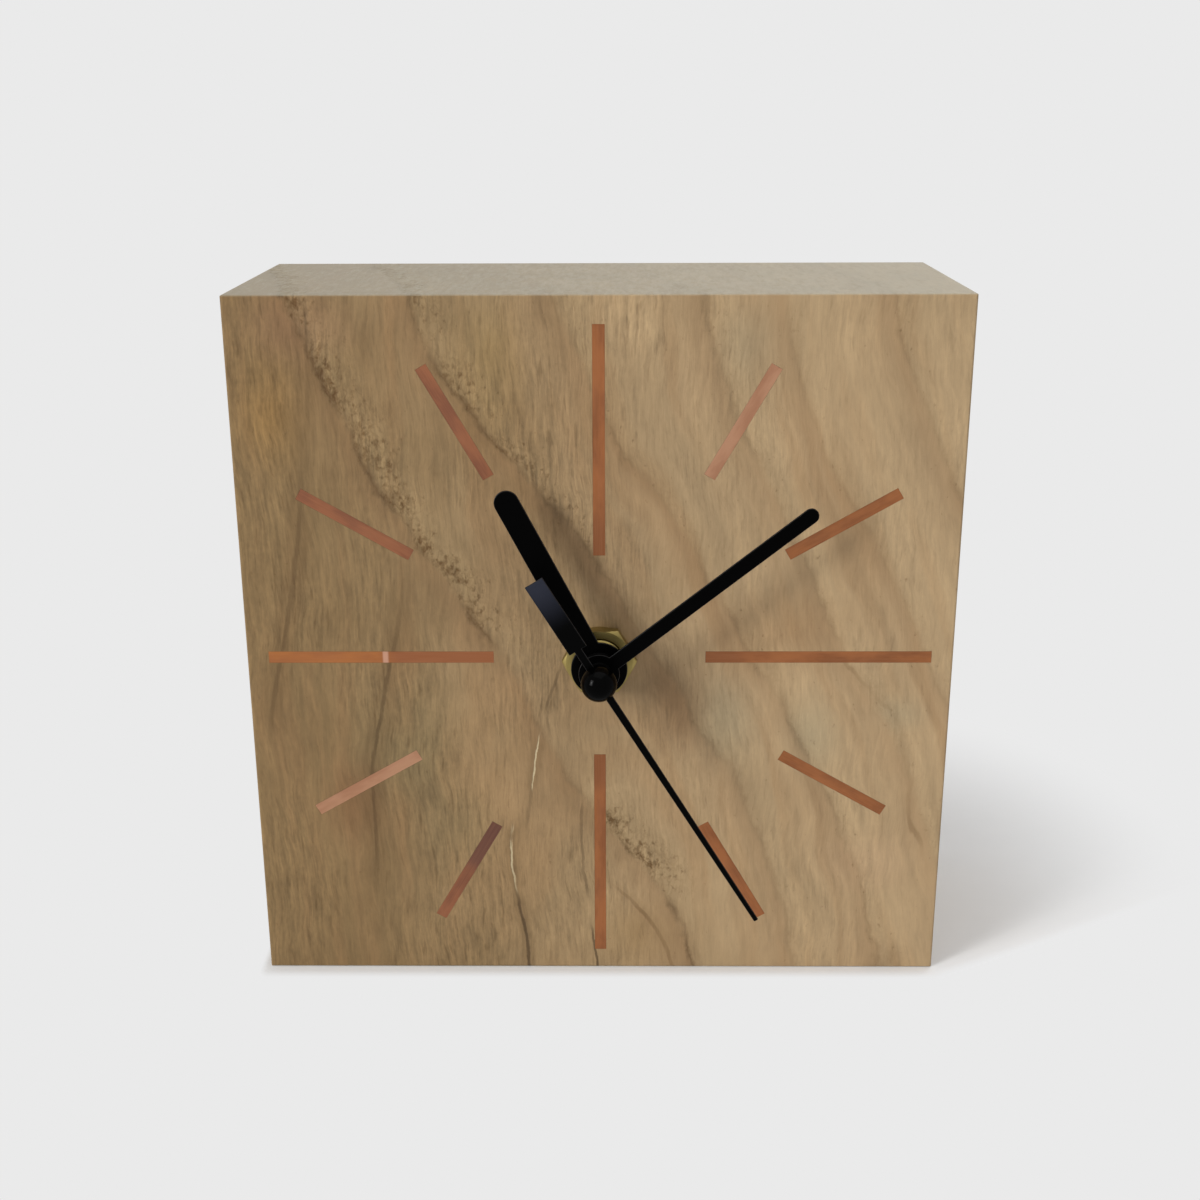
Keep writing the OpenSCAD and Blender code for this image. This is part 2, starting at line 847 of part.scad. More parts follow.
module contact_negative() {
  y0 = y_divider + contact_seat;
  color("#c8b98a")
    in_dial() {
      slab(z_contact, contact_w) {
        scale([-1, 1, 1])
          contact_shape(y0 + contact_t);
        box(contact_seat - bay_half, leg_x, y0, y0 + contact_t);
        box(leg_x - contact_t, leg_x, y0, contact_top);
      }
      slab(z_board_back, z_board_back - z_contact + 0.5)
        box(leg_x - contact_t, leg_x, board_bottom, contact_top);
    }
}

module rotor_magnet() {
  color("#55575c")
    in_dial()
      at(rotor_at)
        difference() {
          rod(magnet_d / 2, z_magnet - magnet_l, z_magnet);
          rod(arbor_d / 2 + press_fit, z_magnet - magnet_l - 1, z_magnet + 1);
        }
}

module rotor_pinion() {
  color("#d9d2bd")
    in_dial()
      at(rotor_at) {
        rod(arbor_d / 2, z_bridge_back, z_magnet + 1.6);
        rod(arbor_d, level(5), z_magnet - magnet_l - press_fit);
        wheel(rotor_teeth, train_module, meshed(0, inter_teeth, rotor_dir, rotor_teeth), 5);
      }
}

module intermediate_wheel() {
  turn = meshed(0, second_teeth, inter_dir, inter_pinion_teeth);
  color("#e8e4d6")
    in_dial()
      at(inter_at) {
        rod(arbor_d / 2, z_bridge_back, level(2) + 1.6);
        wheel(inter_pinion_teeth, train_module, turn, 4);
        rod(root_r(inter_pinion_teeth, train_module), level(5) - 0.1, level(4) - wheel_t + 0.1);
        wheel(inter_teeth, train_module, 0, 5);
      }
}

module second_wheel() {
  color("#e8e4d6")
    in_dial()
      difference() {
        union() {
          wheel(second_pinion_teeth, third_module, 0, 3);
          rod(root_r(second_pinion_teeth, third_module), level(4) - 0.1, level(3) - wheel_t + 0.1);
          wheel(second_teeth, train_module, 0, 4);
          rod(root_r(second_pinion_teeth, third_module), level(4) - wheel_t - 1, level(4));
        }
        rod(second_arbor_r + press_fit, z_back, 0);
      }
}

module second_arbor() {
  color("#c0c2c5")
    in_dial()
      rod(second_arbor_r, z_bridge_back, z_cap + cap_side);
}

module third_wheel() {
  turn = meshed(0, second_pinion_teeth, third_dir, third_teeth);
  color("#e8e4d6")
    in_dial()
      at(third_at) {
        rod(arbor_d / 2, z_bridge_back, level(2) + 1.6);
        wheel(third_pinion_teeth, center_module, 0, 2);
        rod(root_r(third_pinion_teeth, center_module), level(3) - 0.1, level(2) - wheel_t + 0.1);
        wheel(third_teeth, third_module, turn, 3);
      }
}

module center_gear() {
  turn = meshed(0, third_pinion_teeth, third_dir + 180, center_teeth);
  color("#e2c27a")
    in_dial()
      difference() {
        wheel(center_teeth, center_module, turn, 2);
        rod(clutch_d / 2 + run_fit, z_back, 0);
      }
}

module clutch_spring() {
  inner = clutch_d / 2 + press_fit;
  outer = clutch_spring_d / 2;
  z_high = level(1) - wheel_t - press_fit;
  z_low = level(2) + run_fit;
  color("#b9bcc0")
    in_dial()
      rotate_extrude()
        polygon([
          [inner, z_high],
          [outer, z_low + clutch_spring_t],
          [outer, z_low],
          [inner, z_high - clutch_spring_t]
        ]);
}

module minute_arbor() {
  z_low = level(2) - wheel_t - run_fit;
  color("#d9d2bd")
    in_dial()
      difference() {
        union() {
          rod(minute_tube_r, level(1) - 0.1, z_minute_hand + hand_t);
          wheel(cannon_teeth, motion_module, 0, 1);
          rod(clutch_d / 2, z_low - 0.1, level(1) - 0.1);
          rod(clutch_flange_d / 2, z_low - clutch_flange_t, z_low);
        }
        rod(minute_bore_r, z_back, z_second_hand);
      }
}

module minute_wheel() {
  turn = meshed(0, cannon_teeth, motion_dir, minute_teeth);
  color("#e8e4d6")
    in_dial()
      at(motion_at)
        difference() {
          union() {
            wheel(minute_pinion_teeth, hour_module, 0, 0);
            rod(root_r(minute_pinion_teeth, hour_module), level(1) - 0.1, level(0) - wheel_t + 0.1);
            wheel(minute_teeth, motion_module, turn, 1);
          }
          rod(stub_d / 2 + run_fit, z_back, 0);
        }
}

module hour_wheel() {
  turn = meshed(0, minute_pinion_teeth, motion_dir + 180, hour_teeth);
  color("#e8e4d6")
    in_dial()
      difference() {
        union() {
          wheel(hour_teeth, hour_module, turn, 0);
          rod(hour_tube_r, level(0) - 0.1, z_hour_hand + hand_t);
        }
        rod(hour_bore_r, z_back, z_minute_hand);
      }
}

module setting_arbor() {
  minute_turn = meshed(0, cannon_teeth, motion_dir, minute_teeth);
  turn = meshed(minute_turn, minute_teeth, setter_dir, setter_teeth);
  color("#d9d2bd")
    in_dial()
      at(setter_at) {
        rod(setter_d / 2, z_back - knob_gap - knob_h + 0.8, level(1) - wheel_t + 0.1);
        wheel(setter_teeth, motion_module, turn, 1);
        rod(setter_pivot_d / 2, level(1) - 0.1, level(1) + 1.4);
      }
}

module setting_knob() {
  z_high = z_back - knob_gap;
  color("#f0eee6")
    in_dial()
      at(setter_at)
        difference() {
          rod(knob_d / 2, z_high - knob_h, z_high);
          rod(setter_d / 2 + press_fit, z_high - knob_h + 0.8, z_high + 1);
          for (k = [0 : knob_grips - 1])
            at(polar(knob_d / 2, k * 360 / knob_grips))
              rod(knob_grip_d / 2, z_high - knob_h - 1, z_high + 1);
        }
}

module hour_hand() {
  color("#17171a")
    in_dial()
      difference() {
        union() {
          slab(z_hour_hand + hand_t, hand_t) {
            circle(d = hour_hub_d);
            rotate(-hour_angle) {
              box(-hour_hand_w / 2, hour_hand_w / 2, 0, hour_hand_l - hour_hand_w / 2);
              translate([0, hour_hand_l - hour_hand_w / 2])
                circle(d = hour_hand_w);
            }
          }
          rod(hour_tube_r + collar_wall, z_hour_hand - collar_h, z_hour_hand + 0.1);
        }
        rod(hour_tube_r + press_fit, 0, z_second_hand);
      }
}

module minute_hand() {
  color("#17171a")
    in_dial()
      difference() {
        union() {
          slab(z_minute_hand + hand_t, hand_t) {
            circle(d = minute_hub_d);
            rotate(-minute_angle) {
              box(-minute_hand_w / 2, minute_hand_w / 2, 0, minute_hand_l - minute_hand_w / 2);
              translate([0, minute_hand_l - minute_hand_w / 2])
                circle(d = minute_hand_w);
            }
          }
          rod(minute_tube_r + collar_wall, z_minute_hand - collar_h, z_minute_hand + 0.1);
        }
        rod(minute_tube_r + press_fit, 0, z_second_hand);
      }
}

module second_hand() {
  color("#17171a")
    in_dial()
      slab(z_cap, second_hand_t)
        difference() {
          union() {
            circle(d = cap_d - 0.6);
            rotate(-second_angle) {
              polygon([
                [-second_root_w / 2, 0],
                [second_root_w / 2, 0],
                [second_tip_w / 2, second_hand_l],
                [-second_tip_w / 2, second_hand_l]
              ]);
              box(-second_root_w / 2, second_root_w / 2, 0.5 - second_tail_l, 0);
              box(-second_tail_w / 2, second_tail_w / 2, -second_tail_l, second_tail_pad - second_tail_l);
            }
          }
          circle(second_arbor_r + press_fit + cap_tube_wall + press_fit);
        }
}

module second_hand_cap() {
  r = cap_d / 2;
  ball = (r * r + cap_dome * cap_dome) / (2 * cap_dome);
  z_top = z_cap + cap_side + cap_dome;
  color("#0f0f12")
    in_dial()
      difference() {
        union() {
          rod(second_arbor_r + press_fit + cap_tube_wall, z_second_hand - cap_tube_l, z_cap + 0.1);
          intersection() {
            rod(r, z_cap, z_top);
            translate([0, 0, z_top - ball])
              sphere(ball);
          }
        }
        rod(second_arbor_r + press_fit, z_minute_hand, z_cap + cap_side + press_fit);
      }
}

// Turns a shape drawn along z into the cell's place along x
module along_battery() {
  translate([-battery_l / 2, y_battery, z_battery])
    rotate([0, 90, 0])
      children();
}

module battery_can() {
  r = battery_d / 2;
  l = battery_l - terminal_h;
  color("#7f8a94")
    in_dial()
      along_battery() {
        rod(r - battery_edge, 0, l);
        rod(r, battery_edge, l - battery_edge);
        for (z = [battery_edge, l - battery_edge])
          translate([0, 0, z])
            rotate_extrude()
              translate([r - battery_edge, 0])
                circle(battery_edge, $fn = 32);
      }
}

module battery_terminal() {
  l = battery_l - terminal_h;
  color("#c9ccd0")
    in_dial()
      along_battery()
        rod(terminal_d / 2, l, battery_l);
}

function marker_name(n) = str("hour_marker_", n < 10 ? "0" : "", n);

wood_block();
for (n = [1 : 12])
  hour_marker(n);
dial_gasket();
brass_washer();
brass_nut();
threaded_bushing();
movement_case();
back_cover();
train_bridge();
stator();
coil_core();
coil_bobbin();
coil_winding();
circuit_board();
chip_cover();
quartz_crystal();
contact_negative();
contact_positive();
rotor_magnet();
rotor_pinion();
intermediate_wheel();
second_wheel();
second_arbor();
second_hand();
second_hand_cap();
third_wheel();
center_gear();
clutch_spring();
minute_arbor();
minute_hand();
minute_wheel();
hour_wheel();
hour_hand();
setting_arbor();
setting_knob();
battery_can();
battery_terminal();
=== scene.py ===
"""The looks of a wooden block desk clock with flush copper hour strips and black hands."""
import math

import bmesh
import bpy
from mathutils import Matrix, Vector


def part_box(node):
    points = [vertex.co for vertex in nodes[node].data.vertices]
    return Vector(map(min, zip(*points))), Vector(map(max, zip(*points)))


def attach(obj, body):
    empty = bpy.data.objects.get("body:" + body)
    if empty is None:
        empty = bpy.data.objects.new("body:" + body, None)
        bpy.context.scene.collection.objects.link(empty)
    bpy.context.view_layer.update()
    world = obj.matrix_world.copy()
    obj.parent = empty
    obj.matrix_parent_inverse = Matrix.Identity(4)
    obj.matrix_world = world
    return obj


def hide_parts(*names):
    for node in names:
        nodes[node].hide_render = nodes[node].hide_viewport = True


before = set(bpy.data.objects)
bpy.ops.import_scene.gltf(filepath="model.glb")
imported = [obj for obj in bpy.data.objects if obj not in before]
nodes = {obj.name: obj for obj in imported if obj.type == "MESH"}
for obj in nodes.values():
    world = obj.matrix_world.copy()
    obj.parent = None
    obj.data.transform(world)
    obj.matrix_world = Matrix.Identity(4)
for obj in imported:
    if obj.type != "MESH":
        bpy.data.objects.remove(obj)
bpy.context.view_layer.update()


# The block is one piece of air-dried fruitwood, sawn square, sanded and oiled. Its fibres stand
# upright, broad growth rings cross the face on a slant, and a few hairline checks have opened.
class Wire:
    """An output socket, with sums that add Math nodes."""

    def __init__(self, finish, socket):
        self.finish = finish
        self.socket = socket

    def sum(self, operation, first, second=0.0):
        return self.finish.node("ShaderNodeMath", {"operation": operation}, {0: first, 1: second})

    def __add__(self, other):
        return self.sum("ADD", self, other)

    def __sub__(self, other):
        return self.sum("SUBTRACT", self, other)

    def __rsub__(self, other):
        return self.sum("SUBTRACT", other, self)

    def __mul__(self, other):
        return self.sum("MULTIPLY", self, other)

    def __truediv__(self, other):
        return self.sum("DIVIDE", self, other)

    def __abs__(self):
        return self.sum("ABSOLUTE", self)

    __radd__ = __add__
    __rmul__ = __mul__

    def root(self):
        return self.sum("SQRT", self)

    def sine(self):
        return self.sum("SINE", self)

    def at_least(self, other):
        return self.sum("MAXIMUM", self, other)


class Finish:
    """A material with one surface shader; keyword values are the shader's own sockets."""

    def __init__(self, name, **sockets):
        self.material = bpy.data.materials.new(name)
        self.material.use_nodes = True
        self.tree = self.material.node_tree
        self.shader = self.tree.nodes["Principled BSDF"]
        self.set(**sockets)

    def feed(self, socket, value):
        if isinstance(value, Wire):
            self.tree.links.new(value.socket, socket)
        else:
            socket.default_value = value

    def set(self, **sockets):
        for name, value in sockets.items():
            label = name.replace("_", " ").title().replace("Ior", "IOR")
            self.feed(self.shader.inputs[label], value)

    def node(self, kind, settings=None, inputs=None, out=0):
        """A node of one kind: its settings first, then the values or links of its sockets."""
        made = self.tree.nodes.new(kind)
        for name, value in (settings or {}).items():
            if name == "stops":
                ramp = made.color_ramp.elements
                while len(ramp) < len(value):
                    ramp.new(0.5)
                for stop, (place, shade) in zip(ramp, value):
                    stop.position = place
                    stop.color = shade
            elif name == "curve":
                made.color_ramp.interpolation = value
            else:
                setattr(made, name, value)
        for name, value in (inputs or {}).items():
            self.feed(made.inputs[name], value)
        return Wire(self, made.outputs[out])

    def vector(self, operation, *values, out=0):
        return self.node("ShaderNodeVectorMath", {"operation": operation}, dict(enumerate(values)), out)

    def place(self, origin=(0, 0, 0)):
        """Object coordinates in millimetres, counted from origin."""
        spot = self.node("ShaderNodeTexCoord", out="Object")
        return self.vector("MULTIPLY_ADD", spot, (1000, 1000, 1000), tuple(-value for value in origin))

    def length(self, vector):
        return self.vector("LENGTH", vector, out=1)

    def split(self, vector):
        return [self.node("ShaderNodeSeparateXYZ", inputs={0: vector}, out=axis) for axis in range(3)]

    def join(self, x, y, z):
        return self.node("ShaderNodeCombineXYZ", inputs={0: x, 1: y, 2: z})

    def noise(self, vector, stretch, detail=2.0, roughness=0.5, shift=(0, 0, 0)):
        """Noise from 0 to 1, with stretch cycles for each millimetre along x, y and z."""
        spread = self.vector("MULTIPLY_ADD", vector, stretch, shift)
        values = {"Vector": spread, "Scale": 1.0, "Detail": detail, "Roughness": roughness}
        return self.node("ShaderNodeTexNoise", inputs=values)

    def ease(self, value, low, high, bottom=0.0, top=1.0):
        """From bottom to top in a smooth step, as a value goes from low to high."""
        values = {"Value": value, "From Min": low, "From Max": high, "To Min": bottom, "To Max": top}
        return self.node("ShaderNodeMapRange", {"interpolation_type": "SMOOTHSTEP"}, values)

    def mix(self, factor, first, second):
        return self.node("ShaderNodeMix", {"data_type": "RGBA"}, {0: factor, 6: first, 7: second}, 2)

    def bump(self, height, strength, depth_mm):
        values = {"Height": height, "Strength": strength, "Distance": depth_mm / 1000}
        self.set(normal=self.node("ShaderNodeBump", inputs=values))


def paint(red, green, blue):
    """A colour read off in 0 to 255 steps, as the linear values that shaders take."""
    parts = [value / 255 for value in (red, green, blue)]
    return tuple(v / 12.92 if v <= 0.04045 else ((v + 0.055) / 1.055) ** 2.4 for v in parts) + (1.0,)


def dress(names, finish):
    """Gives CAD nodes a finish."""
    for name in names:
        slots = nodes[name].data.materials
        slots.clear()
        slots.append(finish.material)


def corners_mm(node):
    """A CAD node's lowest and highest corners at rest, in millimetres."""
    return [corner * 1000 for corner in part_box(node)]


block_low, block_high = corners_mm("wood_block")
face_y, half_height = block_low.y, (block_high.z - block_low.z) / 2
face_middle = block_low.z + half_height

# Millimetres right of, behind and above the middle of the face, and how the grain wavers there.
wood = Finish("oiled_fruitwood", specular_ior_level=0.2)
grain_at = wood.place((0, face_y, face_middle))
x, y, z = wood.split(grain_at)
sway = wood.noise(grain_at, (0.02, 0.02, 0.015), shift=(4, 0, 2)) - 0.5
drift = wood.noise(grain_at, (0.09, 0.05, 0.06), shift=(7, 3, 1)) - 0.5
ragged = wood.noise(grain_at, (0.55, 0.3, 0.4), 3.0, 0.6, (1, 8, 3)) - 0.5


def near(right, up, wide, tall):
    """One at a spot on the face, easing to nothing at the edge of an upright oval round it."""
    return wood.ease(wood.length(wood.join((x - right) / wide, 0.0, (z - up) / tall)), 1.0, 0.0)


def zone(fade_in, start, end, fade_out):
    """One between two heights on the face, easing to nothing at one below and one above them."""
    return wood.ease(z, fade_in, start) * wood.ease(z, fade_out, end)


# Where the growth lines cross the face, in millimetres right of its middle, from the bottom up.
heights = (-60, -45, -30, -15, 0, 15, 30, 45, 60)
first_line = (18, 12, -1, -10, -16, -27, -37, -43, -51)
second_line = (36, 33, 28, 18, 10, 1, -11, -23, -31)
third_line = (66, 62, 56, 50, 42, 36, 27, 21, 16)
left_line = (-39, -40, -40, -39, -35, -32, -30, -29, -28)
edge_line = (-66, -63, -60, -57, -54, -51, -49, -47, -46)
check_line = (-15, -14, -13, -11, -5, -3, -2, -1, 0)
crack_line = (0, -3, -3, -3, -4, -4, -4, -4, -4)
wavy_line = (70, 63, 52, 54, 40, 36, 28, 22, 16)
bottom_line = (14, 7, -20, -30, -40, -50, -60, -60, -60)


def traced(*lines):
    """The place of three growth lines at every height, as one smooth ramp."""
    tall, wide = 64, 70
    stops = []
    for height, *spots in zip(heights, *lines):
        shares = [(spot + wide) / (2 * wide) for spot in spots]
        stops.append(((height + tall) / (2 * tall), (*shares, 1)))
    settings = {"stops": stops, "curve": "B_SPLINE"}
    ramp = wood.node("ShaderNodeValToRGB", settings, {0: (z + tall) / (2 * tall)})
    return [share * (2 * wide) - wide for share in wood.split(ramp)]


def growth_line(away, line, pores, fade):
    """Darkness, pores and smooth late wood on both sides of a line, by the distance from it."""
    room = 12
    sides = [
        (-9.0, 0.0, 0.0, 0.0),
        (-4.0, line * 0.05, 0.0, 0.4),
        (-0.8, line * 0.25, 0.0, 1.0),
        (0.0, line, pores * 0.8, 0.6),
        (0.7, line * 0.35, pores, 0.1),
        (2.2, 0.0, pores * 0.9, 0.0),
        (fade * 0.6, 0.0, pores * 0.45, 0.0),
        (fade, 0.0, 0.0, 0.0),
    ]
    stops = [((spot + room) / (2 * room), (*values, 1)) for spot, *values in sides]
    return wood.split(wood.node("ShaderNodeValToRGB", {"stops": stops}, {0: (away + room) / (2 * room)}))


first_at, second_at, third_at = traced(first_line, second_line, third_line)
left_at, edge_at, check_at = traced(left_line, edge_line, check_line)
crack_at, wavy_at, bottom_at = traced(crack_line, wavy_line, bottom_line)
between_at = (second_at + third_at) * 0.5
wobble = sway * 5 + drift * 5 + ragged * 2.2 + y * 0.22
patch = wood.noise(grain_at, (0.05, 0.05, 0.04), shift=(2, 6, 4))
clump = wood.ease(wood.noise(grain_at, (0.13, 0.1, 0.12), shift=(3, 1, 6)), 0.34, 0.60)
broken = wood.ease(patch + drift * 0.9, 0.32, 0.62, 0.15, 1.0)
upper = z + drift * 14
first_pores = wood.ease(upper, -4.0, 8.0) + zone(-49.0, -44.0, -31.0, -25.0)
second_pores = wood.ease(upper, 12.0, 34.0, 0.1, 0.85)
first_firm = wood.ease(z, -4.0, 4.0, 0.5, 1.1) + wood.ease(z, -26.0, -44.0)
second_firm = wood.ease(z, 6.0, 26.0, 0.45, 1.1)
third_firm = wood.ease(z, -4.0, 8.0, 0.2, 1.0)

# The distance from each line, its darkness, its pores and how far they reach, and then where its
# pores and its darkness show. The last two lines run beside the third one.
growth = [
    ((x - first_at) * 0.85 + wobble, 1.2, 1.2, 7.5, first_pores, first_firm),
    ((x - second_at) * 0.85 + wobble, 1.1, 1.1, 7.0, second_pores, second_firm),
    ((x - between_at) * 0.9 + wobble, 0.65, 0.4, 5.0, 0.6, 0.95),
    ((x - third_at) * 0.9 + wobble, 0.6, 0.4, 5.0, 0.6, third_firm),
    (x - third_at - 12.6 + wobble * 0.7, 0.4, 0.3, 3.5, 0.6, 0.9),
    (x - third_at - 30.5 + wobble * 0.7, 0.7, 0.4, 4.0, 0.6, 0.9),
]
dark_line, porous, late, early = 0.0, 0.0, 0.0, 0.0
for away, line, pores, fade, pores_show, line_shows in growth:
    darkness, openness, smoothness = growth_line(away, line, pores, fade)
    dark_line = darkness * line_shows + dark_line
    porous = openness * pores_show + porous
    early = openness + early
    late = smoothness + late
dark_line = dark_line * broken

# Open pores read as soft brown curls and specks that crowd along the early wood of each ring.
pit = wood.noise(grain_at, (0.95, 0.8, 0.72), 2.0, 0.62, (5, 5, 5))
curl = wood.noise(grain_at, (0.55, 0.45, 0.42), 2.0, 0.6, (9, 2, 7)) - 0.5
curl = wood.ease(abs(curl), 0.09, 0.0)
crowd = porous * (clump * 0.6 + 0.4)
speckle = wood.ease(pit + crowd * 0.23, 0.64, 0.90) + curl * crowd * 0.45

# Fibres stand nearly upright, follow the sway of the trunk, and carry short dark vessels.
fibre_at = wood.join(x + z * 0.03 + sway * 6 + drift * 3.5 + ragged * 0.15, y, z)
follow_at = wood.join(x - third_at * wood.ease(x, -30.0, 16.0, 0.0, 0.7) + sway * 10 + drift * 5, y, z)
fine = wood.noise(fibre_at, (2.4, 0.8, 0.22), 3.0, 0.6) - 0.5
fleck = wood.noise(fibre_at, (1.15, 0.5, 0.14), 3.0, 0.62, (3, 9, 5)) - 0.5
pepper = wood.noise(grain_at, (1.7, 1.2, 1.0), 2.0, 0.6, (4, 4, 9)) - 0.5
streak = wood.noise(follow_at, (0.34, 0.1, 0.02), 3.0, 0.6, (6, 1, 2)) - 0.5
mottle = wood.noise(grain_at, (0.07, 0.05, 0.05), 3.0, 0.6, (11, 4, 8)) - 0.5
vessel = wood.ease(wood.noise(fibre_at, (1.4, 0.7, 0.20), 2.0, 0.6, (1, 4, 9)), 0.55, 0.68)
band = wood.noise(follow_at, (0.2, 0.1, 0.018), shift=(2, 7, 7))
calm = wood.noise(grain_at, (0.06, 0.05, 0.03), shift=(7, 7, 2))
rough_left = wood.ease(x, -14.0, 30.0, 1.6, 0.75)
smooth = (1 - late * 0.45) * rough_left * wood.ease(calm, 0.36, 0.62, 0.6, 1.25)

# The oiled wood runs from brown on the left to honey on the right, with broad stains between.
honey_side = wood.ease(x + mottle * 30 + z * 0.10, -56.0, 44.0)
ground = wood.mix(honey_side, paint(128, 104, 70), paint(177, 151, 115))
ground = wood.mix(wood.ease(band, 0.46, 0.70) * 0.35, ground, paint(148, 114, 77))
olive, rosy, russet = paint(146, 124, 78), paint(150, 113, 84), paint(112, 80, 52)
ashen, umber, amber = paint(160, 144, 114), paint(122, 94, 60), paint(148, 113, 64)
ochre, hazel, fawn = paint(140, 112, 72), paint(130, 102, 66), paint(140, 116, 84)
moss, dry_moss = paint(120, 106, 74), paint(124, 108, 76)
tan, blush = paint(148, 116, 80), paint(176, 146, 114)

# How far right and up each stain lies, its half width and half height, its strength and its tone.
stains = [
    (-38, 46, 11, 15, 0.3, umber),
    (-53, 42, 9, 15, 0.42, amber),
    (-48, 56, 12, 9, 0.5, rosy),
    (-34, -16, 13, 17, 0.5, moss),
    (-25, -32, 10, 13, 0.5, dry_moss),
    (-43, -28, 8, 12, 0.6, russet),
    (-7, -24, 11, 20, 0.45, fawn),
    (22, -12, 9, 14, 0.6, ashen),
    (36, -15, 8, 11, 0.7, ashen),
    (30, 4, 17, 12, 0.5, tan),
    (-18, 48, 9, 18, 0.4, olive),
    (24, 53, 7, 10, 0.45, ashen),
    (47, -39, 11, 9, 0.4, blush),
    (8, -54, 14, 11, 0.35, ochre),
    (-18, 42, 28, 24, 0.36, hazel),
    (13, -8, 8, 14, 0.5, russet),
    (51, -11, 7, 5, 0.7, ashen),
]
for right, up, wide, tall, amount, tone in stains:
    ground = wood.mix(near(right, up, wide, tall) * (amount + drift * 0.8), ground, tone)
ground = wood.mix(late * 0.30, ground, paint(145, 111, 76))
ground = wood.mix(early * 0.12, ground, paint(182, 158, 120))
ground = wood.mix(crowd * 0.16, ground, paint(166, 142, 98))
ground = wood.mix(dark_line * 0.52, ground, paint(80, 56, 31))
ground = wood.mix(speckle * 0.60, ground, paint(90, 63, 33))
ground = wood.mix(vessel * smooth * 0.17, ground, paint(86, 63, 36))
flecked = (fine * 0.34 + fleck * 0.62 + pepper * 0.20) * smooth
shade = 0.985 + flecked + streak * 0.52 + mottle * 0.38 - z * 0.0007
wood_colour = wood.node("ShaderNodeVectorMath", {"operation": "SCALE"}, {0: ground, "Scale": shade})

# Two hairline checks have opened on the lower face, pale in places and dark in others, and a third
# ends under the lowest strip. None goes deep, so the sides and the back have none.
skin = wood.ease(y, 3.0, 1.5)
upper_pale = zone(-26.0, -24.0, -17.0, -14.0)
upper_dark = zone(-12.0, -9.0, -4.0, -1.0) * 0.5 + zone(-34.0, -31.0, -26.0, -24.0) * 0.3
lower_pale = zone(-46.0, -43.0, -34.0, -31.0)
lower_dark = wood.ease(z, -43.0, -48.0)
lower_at = crack_at - 12.4
crack_dark = zone(-48.0, -44.0, -30.0, -26.0) * 0.5 + wood.ease(z, -51.0, -54.0)


def beside(line_at, width):
    """One along a line on the face, easing to nothing at width millimetres on each side."""
    away = abs(x - line_at + drift * 2.2 + ragged * 0.8)
    return wood.ease(away, width, width * 0.3) * skin


pale_check = beside(check_at, 0.2) * upper_pale + beside(lower_at, 0.28) * lower_pale
opened = beside(check_at, 0.4) * upper_dark + beside(lower_at, 0.4) * lower_dark
opened = opened + beside(crack_at, 0.35) * crack_dark
# Painted shade darkens the wood on both sides of the first two checks.
shadowed = beside(check_at, 1.6) * (upper_pale + upper_dark)
shadowed = shadowed + beside(lower_at, 1.6) * (lower_pale + lower_dark)
wood_colour = wood.mix(shadowed * 0.3, wood_colour, paint(96, 74, 46))

# Thin dark threads with a soft brown halo run up the left side, along the bottom and at the right.
left_shows = wood.ease(z, -50.0, -34.0, 0.1, 1.0) * wood.ease(z, 18.0, -4.0)
edge_shows = wood.ease(z, -20.0, -6.0) * wood.ease(z, 34.0, 22.0, 0.35, 1.0)
bottom_shows = wood.ease(z, -41.0, -46.0)
wavy_shows = zone(-40.0, -32.0, -3.0, 2.0)
waving_at = wavy_at - drift * 6
core = beside(left_at, 0.5) * left_shows * 0.85 + beside(edge_at, 0.6) * edge_shows * 0.6
halo = beside(left_at, 3.0) * left_shows + beside(edge_at, 3.0) * edge_shows
halo = halo + beside(bottom_at, 2.2) * bottom_shows * 0.5 + beside(waving_at, 2.0) * wavy_shows * 0.3
thread = beside(bottom_at, 0.6) * bottom_shows * 0.5 + beside(waving_at, 0.6) * wavy_shows * 0.36
wood_colour = wood.mix(thread * broken, wood_colour, paint(104, 76, 44))
wood_colour = wood.mix(halo * 0.22, wood_colour, paint(94, 66, 38))
wood_colour = wood.mix(core * (fleck * 2 + 0.9) * 0.55, wood_colour, paint(62, 45, 26))
wood_colour = wood.mix(opened * 0.65, wood_colour, paint(56, 40, 24))
wood_colour = wood.mix(pale_check * wood.ease(fleck, -0.22, -0.02) * 0.75, wood_colour, paint(204, 188, 152))

# The sawn ends of the fibres, on the top and the underside, show fine rays; their greyer tone is partly
# end grain, partly painted sheen.
end_grain_and_sheen = wood.ease(abs(z), half_height - 0.3, half_height - 0.02)
end_rays = wood.noise(grain_at, (1.2, 0.25, 1.0), 3.0, 0.6)
end_pale = wood.ease(end_rays + x * 0.003, 0.25, 0.75)
# Painted sheen: the end faces are mixed towards a paler grey that stands in for their grazing reflection.
end_tone_and_sheen = wood.mix(end_pale, paint(154, 145, 125), paint(172, 166, 148))
wood_colour = wood.mix(end_grain_and_sheen * 0.72, wood_colour, end_tone_and_sheen)
wood.set(base_color=wood_colour, roughness=0.46 + fine * 0.14 + speckle * 0.14)
wood.bump(fine * 0.5 + fleck * 0.4 - speckle * 0.8 - dark_line * 0.2 - pale_check - opened, 0.35, 0.2)
dress(["wood_block"], wood)


# Twelve strips of copper, pressed and glued into routed grooves and sanded flush with the wood.
# Each was rubbed along its length, and each has tarnished in its own way.
nut_low, nut_high = corners_mm("brass_nut")
shaft_up = (nut_low.z + nut_high.z) / 2
dial_middle = (0, face_y, shaft_up)


